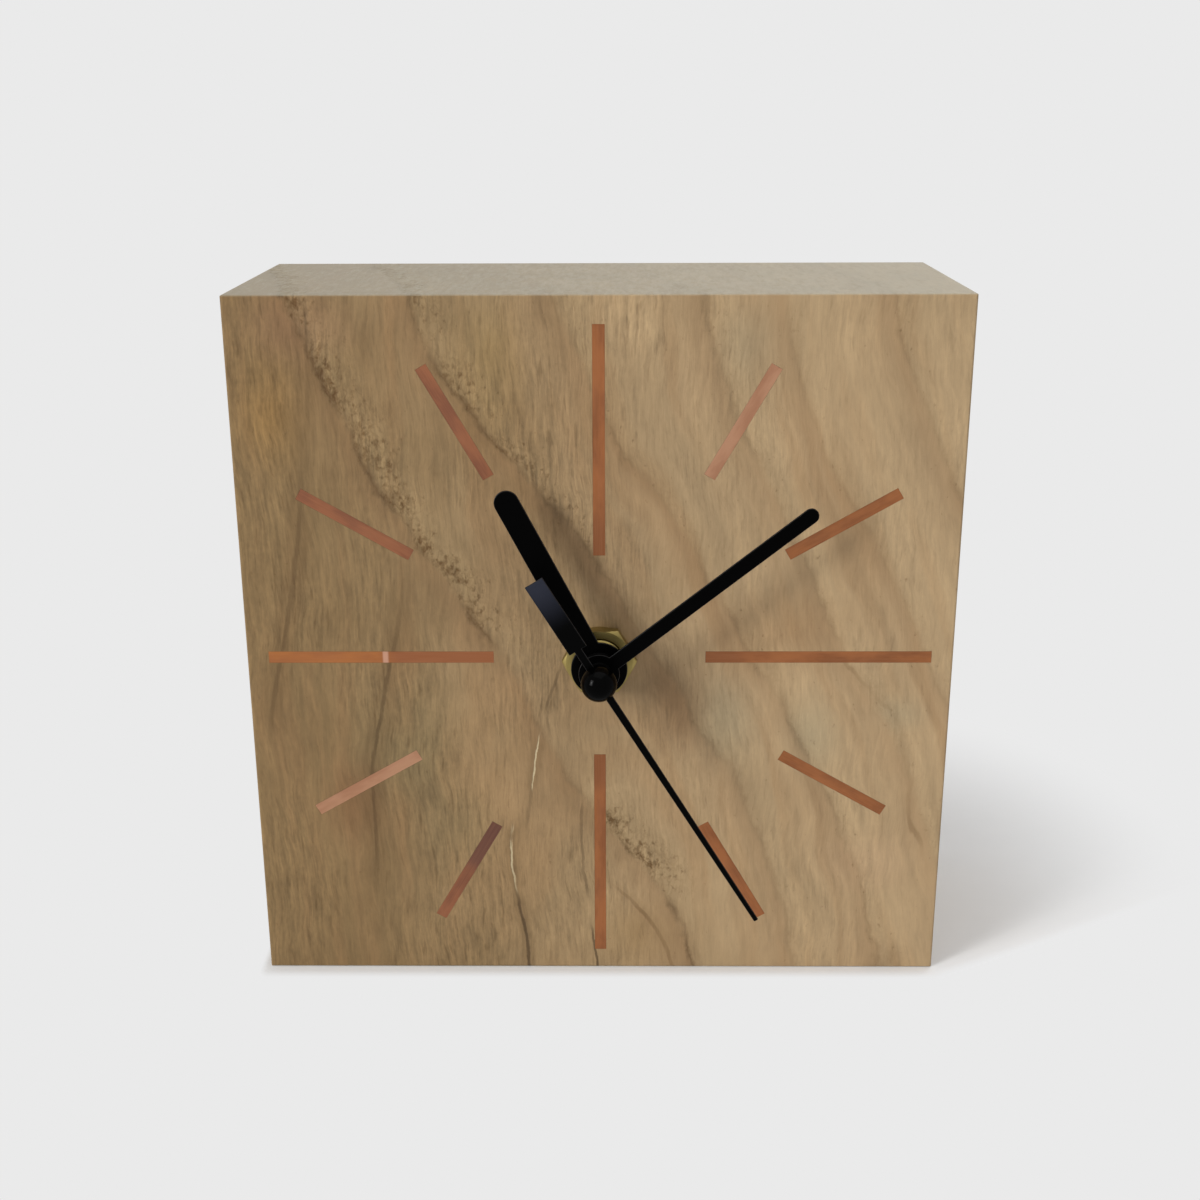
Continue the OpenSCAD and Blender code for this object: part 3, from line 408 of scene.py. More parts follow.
def copper_strip(number, bright, deep, inner, inner_from, nick=0.0):
    """Dresses one strip: two tones that mingle, another towards the shaft, and a nick across it."""
    copper = Finish("copper_strip_%02d" % number, metallic=0.8, specular_ior_level=0.4)
    values = {"Vector": copper.place(dial_middle), "Angle": math.radians(-30 * number)}
    upright = copper.node("ShaderNodeVectorRotate", {"rotation_type": "Y_AXIS"}, values)
    outward = copper.split(upright)[2]
    rubbed_and_sheen = copper.noise(upright, (5.0, 5.0, 0.12), 3.0, 0.6, (number, 0, 0))
    tarnish = copper.noise(upright, (0.30, 0.3, 0.11), 3.0, 0.6, (0, number * 3, 0))
    blurred = outward + (tarnish - 0.5) * 6
    tone = copper.mix(copper.ease(tarnish, 0.36, 0.66), bright, deep)
    tone = copper.mix(copper.ease(blurred, inner_from + 2.0, inner_from - 2.0), tone, inner)
    tone = copper.mix((rubbed_and_sheen - 0.3) * 0.5, tone, paint(182, 128, 94))
    if nick:
        nicked = copper.ease(abs(outward - nick), 0.65, 0.25)
        tone = copper.mix(nicked * 0.6, tone, paint(220, 174, 152))
    copper.set(base_color=tone, roughness=0.42 + (rubbed_and_sheen - 0.5) * 0.25 + (tarnish - 0.5) * 0.2)
    copper.bump(rubbed_and_sheen, 0.25, 0.05)
    dress(["hour_marker_%02d" % number], copper)


plain, plain_deep = paint(160, 100, 60), paint(136, 84, 52)
pale, pale_deep = paint(186, 140, 110), paint(168, 121, 93)
dusky, dusky_deep = paint(150, 96, 68), paint(126, 80, 60)
for number in range(1, 13):
    if number in (1, 8):
        copper_strip(number, pale, pale_deep, pale, inner_from=0)
    elif number == 7:
        copper_strip(number, dusky, dusky_deep, paint(104, 70, 60), inner_from=46)
    elif number == 9:
        copper_strip(number, paint(172, 108, 60), plain, paint(150, 93, 60), inner_from=36, nick=36.4)
    elif number in (10, 11):
        copper_strip(number, dusky, dusky_deep, dusky, inner_from=0)
    else:
        copper_strip(number, plain, plain_deep, plain_deep, inner_from=24)


# The movement is clamped through the dial: a rubber gasket behind the wood, and a turned brass
# bushing, washer and hexagon nut in front.
rubber = Finish("gasket_rubber", roughness=0.85, specular_ior_level=0.3)
dust = rubber.noise(rubber.place(), (1.5, 1.5, 1.5), 3.0)
rubber.set(base_color=rubber.mix(dust, paint(26, 26, 28), paint(52, 51, 50)))
rubber.bump(dust, 0.2, 0.1)
dress(["dial_gasket"], rubber)

brass = Finish("turned_brass", metallic=1.0)
brass_at = brass.place(dial_middle)
brass_x, brass_y, brass_z = brass.split(brass_at)
round_shaft = brass.join((brass_x * brass_x + brass_z * brass_z).root(), brass_y, 0.0)
smear = brass.noise(brass_at, (0.5, 0.5, 0.5), 3.0)
brass_tone = brass.mix(smear, paint(174, 156, 98), paint(132, 115, 66))
brass.set(base_color=brass_tone, roughness=0.36 + smear * 0.22)
brass.bump(brass.noise(round_shaft, (9.0, 9.0, 1.0)), 0.2, 0.05)
dress(["brass_washer", "threaded_bushing", "center_gear"], brass)

# Local x and y lie on the dial and z comes out of it, all in millimetres.
to_dial = Matrix(((1, 0, 0, 0), (0, 0, -1, face_y), (0, 1, 0, shaft_up), (0, 0, 0, 1)))


def grown_parts(grown, kind):
    """The vertices, or the edges, that an operator has added."""
    return [part for part in grown["geom"] if isinstance(part, kind)]


def turned(rows, steps, hollow=True):
    """A turned shape from rows of height and radius; a radius may also depend on the angle."""
    shape = bmesh.new()
    bmesh.ops.create_circle(shape, segments=steps, radius=1)
    corners, edges = shape.verts[:], shape.edges[:]
    start_edges = edges
    for number, (height, radius) in enumerate(rows):
        if number:
            grown = bmesh.ops.extrude_edge_only(shape, edges=edges)
            corners = grown_parts(grown, bmesh.types.BMVert)
            edges = grown_parts(grown, bmesh.types.BMEdge)
        for corner in corners:
            angle = math.atan2(corner.co.y, corner.co.x)
            reach = radius(angle) if callable(radius) else radius
            corner.co = (reach * math.cos(angle), reach * math.sin(angle), height)
    if hollow:
        bmesh.ops.bridge_loops(shape, edges=start_edges + edges)
    return shape


def settle(name, shape, place, crease, *finishes):
    """Welds a shape drawn in millimetres, moves it to its place and makes it a piece in metres."""
    bmesh.ops.remove_doubles(shape, verts=shape.verts, dist=0.002)
    bmesh.ops.recalc_face_normals(shape, faces=shape.faces)
    bmesh.ops.transform(shape, matrix=Matrix.Scale(0.001, 4) @ place, verts=shape.verts)
    mesh = bpy.data.meshes.new(name)
    shape.to_mesh(mesh)
    shape.free()
    mesh.shade_smooth()
    mesh.set_sharp_from_angle(angle=math.radians(crease))
    for finish in finishes:
        mesh.materials.append(finish.material)
    piece = bpy.data.objects.new(name, mesh)
    bpy.context.scene.collection.objects.link(piece)
    return piece


nut_back, nut_front, nut_flats = face_y - nut_high.y, face_y - nut_low.y, nut_high.z - nut_low.z
nut_bore, nut_lead = 4.06, 0.25
nut_crown, nut_slope = 5.6, math.tan(math.radians(30))


def hexagon(limit):
    """The nut's radius at each angle, where a cone of radius limit takes its corners off."""
    return lambda angle: min(nut_flats / 2 / math.cos(angle % (math.pi / 3) - math.pi / 6), limit)


cuts = [0.0, 0.07, 0.14, 0.21, 0.28, 0.36, 0.44]
nut_rows = [(nut_back, nut_bore + nut_lead)]
nut_rows += [(nut_back + cut, hexagon(nut_crown + cut / nut_slope)) for cut in cuts]
nut_rows += [(nut_front - cut, hexagon(nut_crown + cut / nut_slope)) for cut in reversed(cuts)]
nut_rows += [(nut_front, nut_bore + nut_lead), (nut_front - nut_lead, nut_bore)]
nut_rows += [(nut_back + nut_lead, nut_bore)]
nut = settle("hexagon_nut", turned(nut_rows, 96), to_dial, 20, brass)
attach(nut, "case")
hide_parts("brass_nut")


# The movement's case and back cover are black moulded plastic with a fine spark-eroded texture.
# The cover is pressed into the case, and leaves the battery's bay open below it.
moulded = Finish("moulded_black", specular_ior_level=0.45)
moulded_at = moulded.place()
spark = moulded.noise(moulded_at, (3.5, 3.5, 3.5), 3.0, 0.65)
wipe = moulded.noise(moulded_at, (0.06, 0.06, 0.06), 3.0)
moulded_tone = moulded.mix(wipe, paint(30, 30, 33), paint(44, 44, 46))
moulded.set(base_color=moulded_tone, roughness=0.46 + spark * 0.22)
moulded.bump(spark, 0.25, 0.08)
dress(["movement_case", "back_cover"], moulded)


# Raised marks are moulded on the cover: a bare panel's bead, grip ribs, the cell's poles and two
# turn arrows. Local x and y are counted from the shaft, as seen from behind.
cover_back = corners_mm("back_cover")[1].y
to_cover = Matrix(((-1, 0, 0, 0), (0, 0, 1, cover_back), (0, 1, 0, shaft_up), (0, 0, 0, 1)))
knob_low, knob_high = corners_mm("setting_knob")
knob_middle = (knob_low + knob_high) / 2
knob_right = -knob_middle.x
mark_height, mark_round, bead = 0.3, 0.08, 0.8
rib_count, rib_pitch = 5, 2.5
pole_right, pole_up, pole_stroke, pole_arm = 21.0, -7.6, 0.8, 0.9
relief = bmesh.new()


def tablet(right, up, width, height, corner=0.0):
    """A flat mark on the cover, with rounded corners where a corner radius is given."""
    corners = bmesh.ops.create_grid(relief, x_segments=1, y_segments=1, size=0.5)["verts"]
    bmesh.ops.scale(relief, vec=(width, height, 1), verts=corners)
    bmesh.ops.translate(relief, vec=(right, up, 0), verts=corners)
    if corner:
        rounding = {"affect": "VERTICES", "segments": 4, "profile": 0.5, "material": -1}
        bmesh.ops.bevel(relief, geom=corners, offset=corner, **rounding)
    centre = Vector((right, up, 0))
    return [face for face in relief.faces if (face.calc_center_median() - centre).length < 0.01][0]


def round_knob(reach, degrees):
    """A new vertex beside the setting knob."""
    angle = math.radians(degrees)
    return relief.verts.new((knob_right + reach * math.cos(angle), reach * math.sin(angle), 0))


panel = tablet(right=-9.2, up=10.3, width=30.6, height=27.6, corner=2.5)
bmesh.ops.inset_region(relief, faces=[panel], thickness=bead)
bmesh.ops.delete(relief, geom=[panel], context="FACES")
for rib in range(rib_count):
    tablet(right=17.2, up=13.1 + rib * rib_pitch, width=13.8, height=1.1, corner=0.5)
tablet(pole_right, pole_up, pole_stroke + 2 * pole_arm, pole_stroke, corner=0.15)
plus = tablet(-pole_right, pole_up, pole_stroke, pole_stroke)
for side in plus.edges[:]:
    outward = (side.verts[0].co + side.verts[1].co) / 2 - plus.calc_center_median()
    arm = grown_parts(bmesh.ops.extrude_edge_only(relief, edges=[side]), bmesh.types.BMVert)
    bmesh.ops.translate(relief, verts=arm, vec=outward.normalized() * pole_arm)
arrow_in, arrow_out, barb = 6.5, 7.1, 0.6
for way in (1, -1):
    start, end, tip = 20 * way, 90 * way, 104 * way
    ends = [round_knob(arrow_in, start), round_knob(arrow_out, start)]
    arc = {"cent": (knob_right, 0, 0), "axis": (0, 0, 1), "angle": math.radians(end - start), "steps": 14}
    bmesh.ops.spin(relief, geom=[relief.edges.new(ends)] + ends, **arc)
    head = [round_knob(arrow_in - barb, end), round_knob(arrow_out + barb, end)]
    relief.faces.new(head + [round_knob((arrow_in + arrow_out) / 2, tip)])
bmesh.ops.recalc_face_normals(relief, faces=relief.faces)
raised = grown_parts(bmesh.ops.extrude_face_region(relief, geom=relief.faces[:]), bmesh.types.BMVert)
bmesh.ops.translate(relief, verts=raised, vec=(0, 0, mark_height))
rims = [edge for edge in relief.edges if edge.is_manifold and edge.calc_face_angle() > 1.0]
rims = [edge for edge in rims if min(corner.co.z for corner in edge.verts) > mark_height / 3]
rounding = {"affect": "EDGES", "segments": 2, "profile": 0.5, "material": -1, "clamp_overlap": True}
bmesh.ops.bevel(relief, geom=rims, offset=mark_round, **rounding)
marks = settle("cover_marks", relief, to_cover, 25, moulded)
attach(marks, "case")


# Wheels, bridge and bobbin are natural acetal, moulded to a waxy off-white. The wheels turn on thin
# pivots between the case and the bridge.
def mingled(name, stretch, tones, rough, vary, detail=3.0, bump=None, **sockets):
    """A finish of two tones that one noise mingles, and that varies the gloss and bump with them."""
    finish = Finish(name, **sockets)
    grain = finish.noise(finish.place(), stretch, detail)
    finish.set(base_color=finish.mix(grain, *tones), roughness=rough + grain * vary)
    if bump:
        finish.bump(grain, *bump)
    return finish


def pebbled(finish):
    """Adds the fine skin of moulded plastic."""
    finish.bump(finish.noise(finish.place(), (4, 4, 4)), 0.08, 0.05)


waxy = (paint(226, 221, 204), paint(208, 202, 182))
acetal = mingled("natural_acetal", (0.25, 0.25, 0.25), waxy, 0.36, 0.15, specular_ior_level=0.45)
pebbled(acetal)
dress(["train_bridge", "coil_bobbin", "rotor_pinion", "intermediate_wheel", "second_wheel"], acetal)
dress(["third_wheel", "minute_wheel", "hour_wheel", "minute_arbor", "setting_arbor"], acetal)


# The motor has soft iron stampings, a sintered magnet that turns between them, and a winding of
# enamelled copper wire on the bobbin.
rolled = (paint(150, 152, 155), paint(118, 120, 124))
iron = mingled("stamped_iron", (0.2, 2.0, 6.0), rolled, 0.36, 0.2, bump=(0.1, 0.05), metallic=1.0)
dress(["stator", "coil_core"], iron)

crumb = (paint(62, 63, 66), paint(84, 85, 88))
sintered = mingled("sintered_magnet", (5, 5, 5), crumb, 0.5, 0.2, bump=(0.2, 0.05), metallic=0.7)
dress(["rotor_magnet"], sintered)

winding = Finish("enamelled_wire", metallic=0.8)
turns = (winding.split(winding.place())[0] * 40).sine()
wire_tone = winding.mix(turns * 0.5 + 0.5, paint(120, 54, 26), paint(188, 98, 52))
winding.set(base_color=wire_tone, roughness=0.3 + turns * 0.05)
winding.bump(turns, 0.5, 0.06)
dress(["coil_winding"], winding)


# The lacquered circuit board carries a resin blob over the chip and the can of the crystal. Plated
# spring contacts reach from it to both ends of the cell.
weave = (paint(40, 92, 58), paint(58, 116, 74))
lacquered = {"detail": 2.0, "bump": (0.15, 0.05), "specular_ior_level": 0.5}
board = mingled("lacquered_board", (1.8, 1.8, 1.8), weave, 0.3, 0.2, **lacquered)
dress(["circuit_board"], board)

poured = (paint(16, 16, 18), paint(28, 28, 30))
resin = mingled("poured_resin", (0.6, 0.6, 0.6), poured, 0.2, 0.15, detail=2.0, coat_weight=0.4)
dress(["chip_cover"], resin)

drawn = (paint(206, 208, 210), paint(172, 174, 178))
steel = mingled("drawn_steel", (6, 0.2, 6), drawn, 0.2, 0.2, bump=(0.1, 0.03), metallic=1.0)
dress(["quartz_crystal", "second_arbor", "clutch_spring"], steel)

worn = (paint(222, 214, 190), paint(188, 176, 140))
plated = mingled("plated_contact", (0.6, 0.6, 0.6), worn, 0.26, 0.25, bump=(0.08, 0.05), metallic=1.0)
dress(["contact_negative", "contact_positive"], plated)


# The three hands are stamped from thin sheet and sprayed satin black, with broken edges that catch
# the light. The two larger ones have a bush riveted into the hub.
lacquer = Finish("satin_black_lacquer", specular_ior_level=0.02)
lacquer_at = lacquer.place()
peel = lacquer.noise(lacquer_at, (2.4, 2.4, 2.4), 3.0)
speck = lacquer.ease(lacquer.noise(lacquer_at, (3.0, 3.0, 3.0), 1.0, 0.5, (9, 9, 9)), 0.70, 0.80)
lacquer_tone = lacquer.mix(speck * 0.15, paint(2, 2, 2), paint(30, 30, 32))
lacquer.set(base_color=lacquer_tone, roughness=0.36 + peel * 0.14)
lacquer.bump(peel, 0.10, 0.05)

# The broken edges get a glossier lacquer of their own, and their greyer spots are partly worn lacquer and
# partly a painted highlight.
rim = Finish("lacquered_rim", specular_ior_level=0.25)
nicks_and_highlight = rim.noise(rim.place(), (1.5, 1.5, 1.5), 3.0)
rim_wear_and_highlight = rim.mix(rim.ease(nicks_and_highlight, 0.45, 0.7), paint(4, 4, 5), paint(26, 26, 28))
rim.set(base_color=rim_wear_and_highlight, roughness=0.30 + nicks_and_highlight * 0.2)

sheet, rim_break = 0.4, 0.09


def line_to(shape, tip, right, up):
    """A straight edge from the vertex tip to a spot on the sheet."""
    end = bmesh.ops.extrude_vert_indiv(shape, verts=[tip])["verts"][0]
    end.co = (right, up, 0)
    return end


def arc_to(shape, tip, up, degrees, steps):
    """An arc from the vertex tip round a centre on the hand's axis, anticlockwise."""
    turn = {"cent": (0, up, 0), "axis": (0, 0, 1), "angle": math.radians(degrees), "steps": steps}
    ends = bmesh.ops.spin(shape, geom=[tip], **turn)["geom_last"]
    return [part for part in ends if isinstance(part, bmesh.types.BMVert)][0]


def stamp(shape, bore, thick, back):
    """Fills an outline but for its bore, thickens the sheet and breaks its edges."""
    bmesh.ops.remove_doubles(shape, verts=shape.verts, dist=0.002)
    bmesh.ops.create_circle(shape, segments=60, radius=bore)
    bmesh.ops.triangle_fill(shape, edges=shape.edges[:], use_beauty=True)
    front = grown_parts(bmesh.ops.extrude_face_region(shape, geom=shape.faces[:]), bmesh.types.BMVert)
    bmesh.ops.translate(shape, verts=front, vec=(0, 0, thick))
    bmesh.ops.recalc_face_normals(shape, faces=shape.faces)
    rims = [edge for edge in shape.edges if edge.is_manifold and edge.calc_face_angle() > 1.2]
    rims = [edge for edge in rims if edge.verts[0].co.z == edge.verts[1].co.z]
    rounding = {"affect": "EDGES", "segments": 2, "profile": 0.5, "material": -1}
    for face in bmesh.ops.bevel(shape, geom=rims, offset=rim_break, **rounding)["faces"]:
        face.material_index = 1
    bmesh.ops.translate(shape, verts=shape.verts, vec=(0, 0, back))


def baton(length, width, hub, neck, back):
    """A round-ended hand that points up, with its hub round the shaft."""
    shape = bmesh.new()
    half, reach = width / 2, hub / 2
    spread = math.degrees(math.asin(half / reach))
    root = math.sqrt(reach * reach - half * half)
    start = shape.verts.new((half, root, 0))
    tip = line_to(shape, start, half, length - half)
    tip = arc_to(shape, tip, length - half, 180, 24)
    tip = line_to(shape, tip, -half, root)
    arc_to(shape, tip, 0, 360 - 2 * spread, 72)
    stamp(shape, neck, sheet, back)
    return shape


def bush(bore, neck, wall, mouth, back, plate, front):
    """The bush riveted into a hand's hub, from its back to a lip over the tube's end in front."""
    lead, lip, roll_up, roll_out, roll_in, seat = 0.15, 0.25, 0.06, 0.08, 0.1, 0.02
    rows = [(back + lead, bore), (back, bore + lead), (back, wall - lead), (back + lead, wall)]
    rows += [(plate, wall), (plate, neck), (front, neck), (front + roll_up, neck + roll_out)]
    rows += [(front + lip, neck - roll_in), (front + lip, mouth)]
    rows += [(front + seat, mouth), (front + seat, bore)]
    return turned(rows, 60)


def bushed_hand(node, length, width, hub, neck, bore, wall, mouth):
    """A baton and its bush in one shape, as deep as the CAD hand that they stand for."""
    low, high = corners_mm(node)
    back, front = face_y - high.y, face_y - low.y
    shape = baton(length, width, hub, neck, front - sheet)
    riveted = bush(bore, neck, wall, mouth, back, front - sheet, front)
    spare = bpy.data.meshes.new("spare")
    riveted.to_mesh(spare)
    riveted.free()
    shape.from_mesh(spare)
    bpy.data.meshes.remove(spare)
    return shape


def shown(degrees):
    """Turns a hand from 12 to where it stands, clockwise from the front."""
    return to_dial @ Matrix.Rotation(math.radians(-degrees), 4, "Z")


# Hour hand: 34 mm long with a 9.4 mm hub, stamped from 0.4 mm sheet. Its bush is a push fit on the
# outer tube.
hour_turn = 332.5
hour_bush = {"neck": 2.9, "bore": 2.51, "wall": 3.3, "mouth": 1.8}
hour_shape = bushed_hand("hour_hand", length=34.2, width=4.1, hub=9.4, **hour_bush)
hour_piece = settle("hour_hand_stamping", hour_shape, shown(hour_turn), 20, lacquer, rim)
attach(hour_piece, "hours")
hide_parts("hour_hand")

# Minute hand: 45 mm long with a 6.8 mm hub, stamped from the same sheet. Its bush is a push fit on
# the middle tube.
minute_turn = 51.6
minute_bush = {"neck": 2.0, "bore": 1.61, "wall": 2.4, "mouth": 0.8}
minute_shape = bushed_hand("minute_hand", length=44.6, width=2.5, hub=6.8, **minute_bush)
minute_piece = settle("minute_hand_stamping", minute_shape, shown(minute_turn), 20, lacquer, rim)
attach(minute_piece, "minutes")
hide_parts("minute_hand")

# Second hand: a tapered needle, and a broad tail that balances it, stamped from 0.3 mm sheet. The
# button clamps it on the shaft, and a painted bluish sheen lightens the lacquer at the end of the tail.
needle_root, needle_tip, needle_length, tip_cut = 0.65, 0.4, 51.3, 0.15
hub_reach, hub_bore = 2.65, 1.13
tail_half, pad_half, pad_start, pad_end = 0.65, 1.65, -6.4, -19.9
second_low, second_high = corners_mm("second_hand")
second_back, second_front = face_y - second_high.y, face_y - second_low.y
second_turn = 148.5
root_up = math.sqrt(hub_reach ** 2 - needle_root ** 2)
hub_side = 180 - 2 * math.degrees(math.asin(needle_root / hub_reach))
second_shape = bmesh.new()
needle = [(needle_tip, needle_length - tip_cut), (needle_tip - tip_cut, needle_length)]
needle += [(-right, up) for right, up in reversed(needle)] + [(-needle_root, root_up)]
tail = [(-tail_half, pad_start), (-pad_half, pad_start), (-pad_half, pad_end)]
tail += [(-right, up) for right, up in reversed(tail)] + [(tail_half, -root_up)]
tip = second_shape.verts.new((needle_root, root_up, 0))
for outline in (needle, tail):
    for right, up in outline:
        tip = line_to(second_shape, tip, right, up)
    tip = arc_to(second_shape, tip, 0, hub_side, 36)
stamp(second_shape, hub_bore, second_front - second_back, second_back)

rubbed_and_sheen = Finish("black_lacquer_painted_sheen", specular_ior_level=0.03)
tail_end_at = rubbed_and_sheen.place(shown(second_turn) @ Vector((0, pad_end, second_front)))
second_peel = rubbed_and_sheen.noise(tail_end_at, (2.4, 2.4, 2.4), 3.0)
# Painted sheen: the lacquer is lightened to a bluish grey towards the end of the tail.
tail_sheen = rubbed_and_sheen.ease(rubbed_and_sheen.length(tail_end_at) + (second_peel - 0.5) * 0.6, 9.5, 0.5)
tail_sheen_tone = rubbed_and_sheen.mix(tail_sheen, paint(2, 2, 2), paint(44, 46, 56))
rubbed_and_sheen.set(base_color=tail_sheen_tone, roughness=0.36 + second_peel * 0.14)
rubbed_and_sheen.bump(second_peel, 0.10, 0.05)
second_piece = settle("second_hand_stamping", second_shape, shown(second_turn), 20, rubbed_and_sheen, rim)
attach(second_piece, "seconds")
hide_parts("second_hand")


# The button that holds the second hand is turned from solid bar and polished black. It is a ball
# with a tube behind it, pressed on the shaft.
polish = (paint(1, 1, 1), paint(3, 3, 3))
gloss = mingled("polished_black", (0.7, 0.7, 0.7), polish, 0.05, 0.07, specular_ior_level=0.1, ior=1.25)
button_low, button_high = corners_mm("second_hand_cap")
tube_back, button_front = face_y - button_high.y, face_y - button_low.y
ball, tube, tube_bore, tube_lead, bore_end = 2.954, 1.11, 0.51, 0.1, 12.8
pole = 0.0004  # so small that the rim of a row closes into one vertex
ball_up = button_front - ball
low_edge = math.asin((second_front - ball_up) / ball)
climb = [low_edge + (math.pi / 2 - low_edge) * step / 24 for step in range(25)]
button_rows = [(bore_end, pole), (bore_end, tube_bore), (tube_back + tube_lead, tube_bore)]
button_rows += [(tube_back, tube_bore + tube_lead), (tube_back, tube - tube_lead)]
button_rows += [(tube_back + tube_lead, tube), (second_front, tube)]
button_rows += [(ball_up + ball * math.sin(angle), max(ball * math.cos(angle), pole)) for angle in climb]
button = settle("polished_button", turned(button_rows, 64, hollow=False), to_dial, 40, gloss)
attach(button, "seconds")
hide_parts("second_hand_cap")


# The setting knob at the back is off-white moulded plastic, with grip grooves and a dished face.
# It is pressed on the setting arbor, and turning it moves the minute and hour hands.
ivory = (paint(232, 230, 222), paint(214, 210, 198))
knob_plastic = mingled("knob_plastic", (0.5, 0.5, 0.5), ivory, 0.38, 0.15, specular_ior_level=0.45)
pebbled(knob_plastic)
to_knob = Matrix(((-1, 0, 0, knob_middle.x), (0, 0, 1, 0), (0, 1, 0, knob_middle.z), (0, 0, 0, 1)))
knob_base, knob_top, knob_reach, dish = knob_low.y, knob_high.y, 5.0, 0.5
socket, socket_end = 1.2, knob_low.y + 3.2
grips, groove = 24, 0.4


def gripped(reach):
    """The knob's radius at each angle: round, but for its grip grooves."""
    def radius(angle):
        off = (angle * grips / math.tau) % 1.0 - 0.5
        across = abs(0.5 - abs(off)) * math.tau / grips * reach
        return reach - math.sqrt(max(groove ** 2 - across ** 2, 0.0))
    return radius


knob_rows = [(socket_end, pole), (socket_end, socket), (knob_base, socket + 0.1), (knob_base, 4.2)]
knob_rows += [(knob_base, gripped(knob_reach - 0.25)), (knob_base + 0.25, gripped(knob_reach))]
knob_rows += [(knob_top - 0.45, gripped(knob_reach)), (knob_top - 0.15, gripped(knob_reach - 0.15))]
knob_rows += [(knob_top, gripped(knob_reach - 0.4)), (knob_top, 3.9), (knob_top - 0.1, 3.7)]
knob_rows += [(knob_top - 0.45, 3.3), (knob_top - dish, 2.6), (knob_top - dish, pole)]
knob = settle("gripped_knob", turned(knob_rows, 240, hollow=False), to_knob, 25, knob_plastic)
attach(knob, "setter")
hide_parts("setting_knob")


# One AA cell: a steel can with a plain two-tone printed sleeve shrunk over both its ends. It lies
# across the bay between the two contacts.
can_low, can_high = corners_mm("battery_can")
can_middle = (can_low + can_high) / 2
to_cell = Matrix(((0, 0, 1, can_low.x), (1, 0, 0, can_middle.y), (0, 1, 0, can_middle.z), (0, 0, 0, 1)))
can_reach, can_long = (can_high.y - can_low.y) / 2, can_high.x - can_low.x
cell_long = corners_mm("battery_terminal")[1].x - can_low.x
film, fold, nub, nub_round = 0.2, 0.5, 2.7, 0.35
quarter = [math.pi / 8 * step for step in range(5)]

slate, chalk = paint(58, 84, 92), paint(204, 204, 198)
sleeve = Finish("printed_sleeve", specular_ior_level=0.5)
sleeve_at = sleeve.place()
along = sleeve.split(sleeve_at)[0]
scuff = sleeve.noise(sleeve_at, (0.3, 0.8, 0.8), 3.0)
chalk_from, ring_from, ring_to = 10.8, 9.4, 10.3
ring = sleeve.ease(along, ring_from, ring_from + 0.2) * sleeve.ease(along, ring_to, ring_to - 0.2)
print_tone = sleeve.mix(sleeve.ease(along, chalk_from, chalk_from + 0.3), slate, chalk)
print_tone = sleeve.mix(ring, print_tone, chalk)
print_tone = sleeve.mix(scuff * 0.25, print_tone, paint(120, 122, 120))
sleeve.set(base_color=print_tone, roughness=0.24 + scuff * 0.16)
sleeve.bump(scuff, 0.05, 0.05)
shoulder = [(fold - fold * math.sin(a), can_reach - fold + fold * math.cos(a)) for a in reversed(quarter)]
sleeve_rows = [(0.12, 5.9), (0.0, 6.1)] + shoulder
sleeve_rows += [(can_long - height, reach) for height, reach in reversed(shoulder)]
sleeve_rows += [(can_long, 5.5), (can_long - film, 5.4), (can_long - film, 6.6)]
sleeve_rows += [(can_long - 0.6, can_reach - film), (0.6, can_reach - film)]
sleeve_rows += [(film, 6.6), (film + 0.02, 5.9)]
cell_sleeve = settle("cell_sleeve", turned(sleeve_rows, 72), to_cell, 35, sleeve)
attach(cell_sleeve, "battery")
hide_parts("battery_can")

base_rows = [(0.42, pole), (0.42, 3.5), (0.24, 3.8), (0.24, 5.2)]
base_rows += [(0.4, 5.5), (0.4, 6.7), (1.2, 6.8), (1.2, pole)]
cell_base = settle("cell_base", turned(base_rows, 72, hollow=False), to_cell, 30, steel)
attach(cell_base, "battery")

top_rows = [(47.6, pole), (47.6, 6.8), (48.5, 6.8), (48.62, 6.5), (48.62, 4.6)]
top_rows += [(48.3, 4.3), (48.3, 3.4), (48.7, 2.9), (48.95, nub)]
for angle in quarter:
    rise, inward = nub_round * (1 - math.sin(angle)), nub_round * (1 - math.cos(angle))
    top_rows.append((cell_long - rise, nub - inward))
top_rows.append((cell_long, pole))
cell_top = settle("cell_top", turned(top_rows, 72, hollow=False), to_cell, 30, steel)
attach(cell_top, "battery")
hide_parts("battery_terminal")


# A pale seamless table sweep of matt paper, curved up behind the clock. Away from the clock and its
# shadow it shows its flat tone, and near them it takes the light of the lamps.
floor_half, sweep_back, sweep_up = 3.0, 1.6, 3.0
sweep_shape = bmesh.new()
front_corners = [sweep_shape.verts.new((side * floor_half, -floor_half, 0)) for side in (-1, 1)]
sweep_edge = [sweep_shape.edges.new(front_corners)]
for step in ((0, floor_half + sweep_back, 0), (0, 0.4, 0.12), (0, 0.2, 0.5), (0, 0, sweep_up)):
    grown = bmesh.ops.extrude_edge_only(sweep_shape, edges=sweep_edge)
    sweep_edge = grown_parts(grown, bmesh.types.BMEdge)
    bmesh.ops.translate(sweep_shape, verts=grown_parts(grown, bmesh.types.BMVert), vec=step)
bmesh.ops.recalc_face_normals(sweep_shape, faces=sweep_shape.faces[:])
sweep_mesh = bpy.data.meshes.new("table_sweep")
sweep_shape.to_mesh(sweep_mesh)
sweep_shape.free()
table_sweep = bpy.data.objects.new("table_sweep", sweep_mesh)
bpy.context.scene.collection.objects.link(table_sweep)


def seen(finish):
    """One for rays from the eye, off gloss and through glass, which show the pale surround."""
    kinds = ("Is Camera Ray", "Is Glossy Ray", "Is Transmission Ray")
    eye, glossy, through = [finish.node("ShaderNodeLightPath", out=kind) for kind in kinds]
    return eye.at_least(glossy).at_least(through)


def past(distance, reach):
    """How far past an edge of the block, counted in reaches, and never below nothing."""
    return (distance / reach).at_least(0.0)


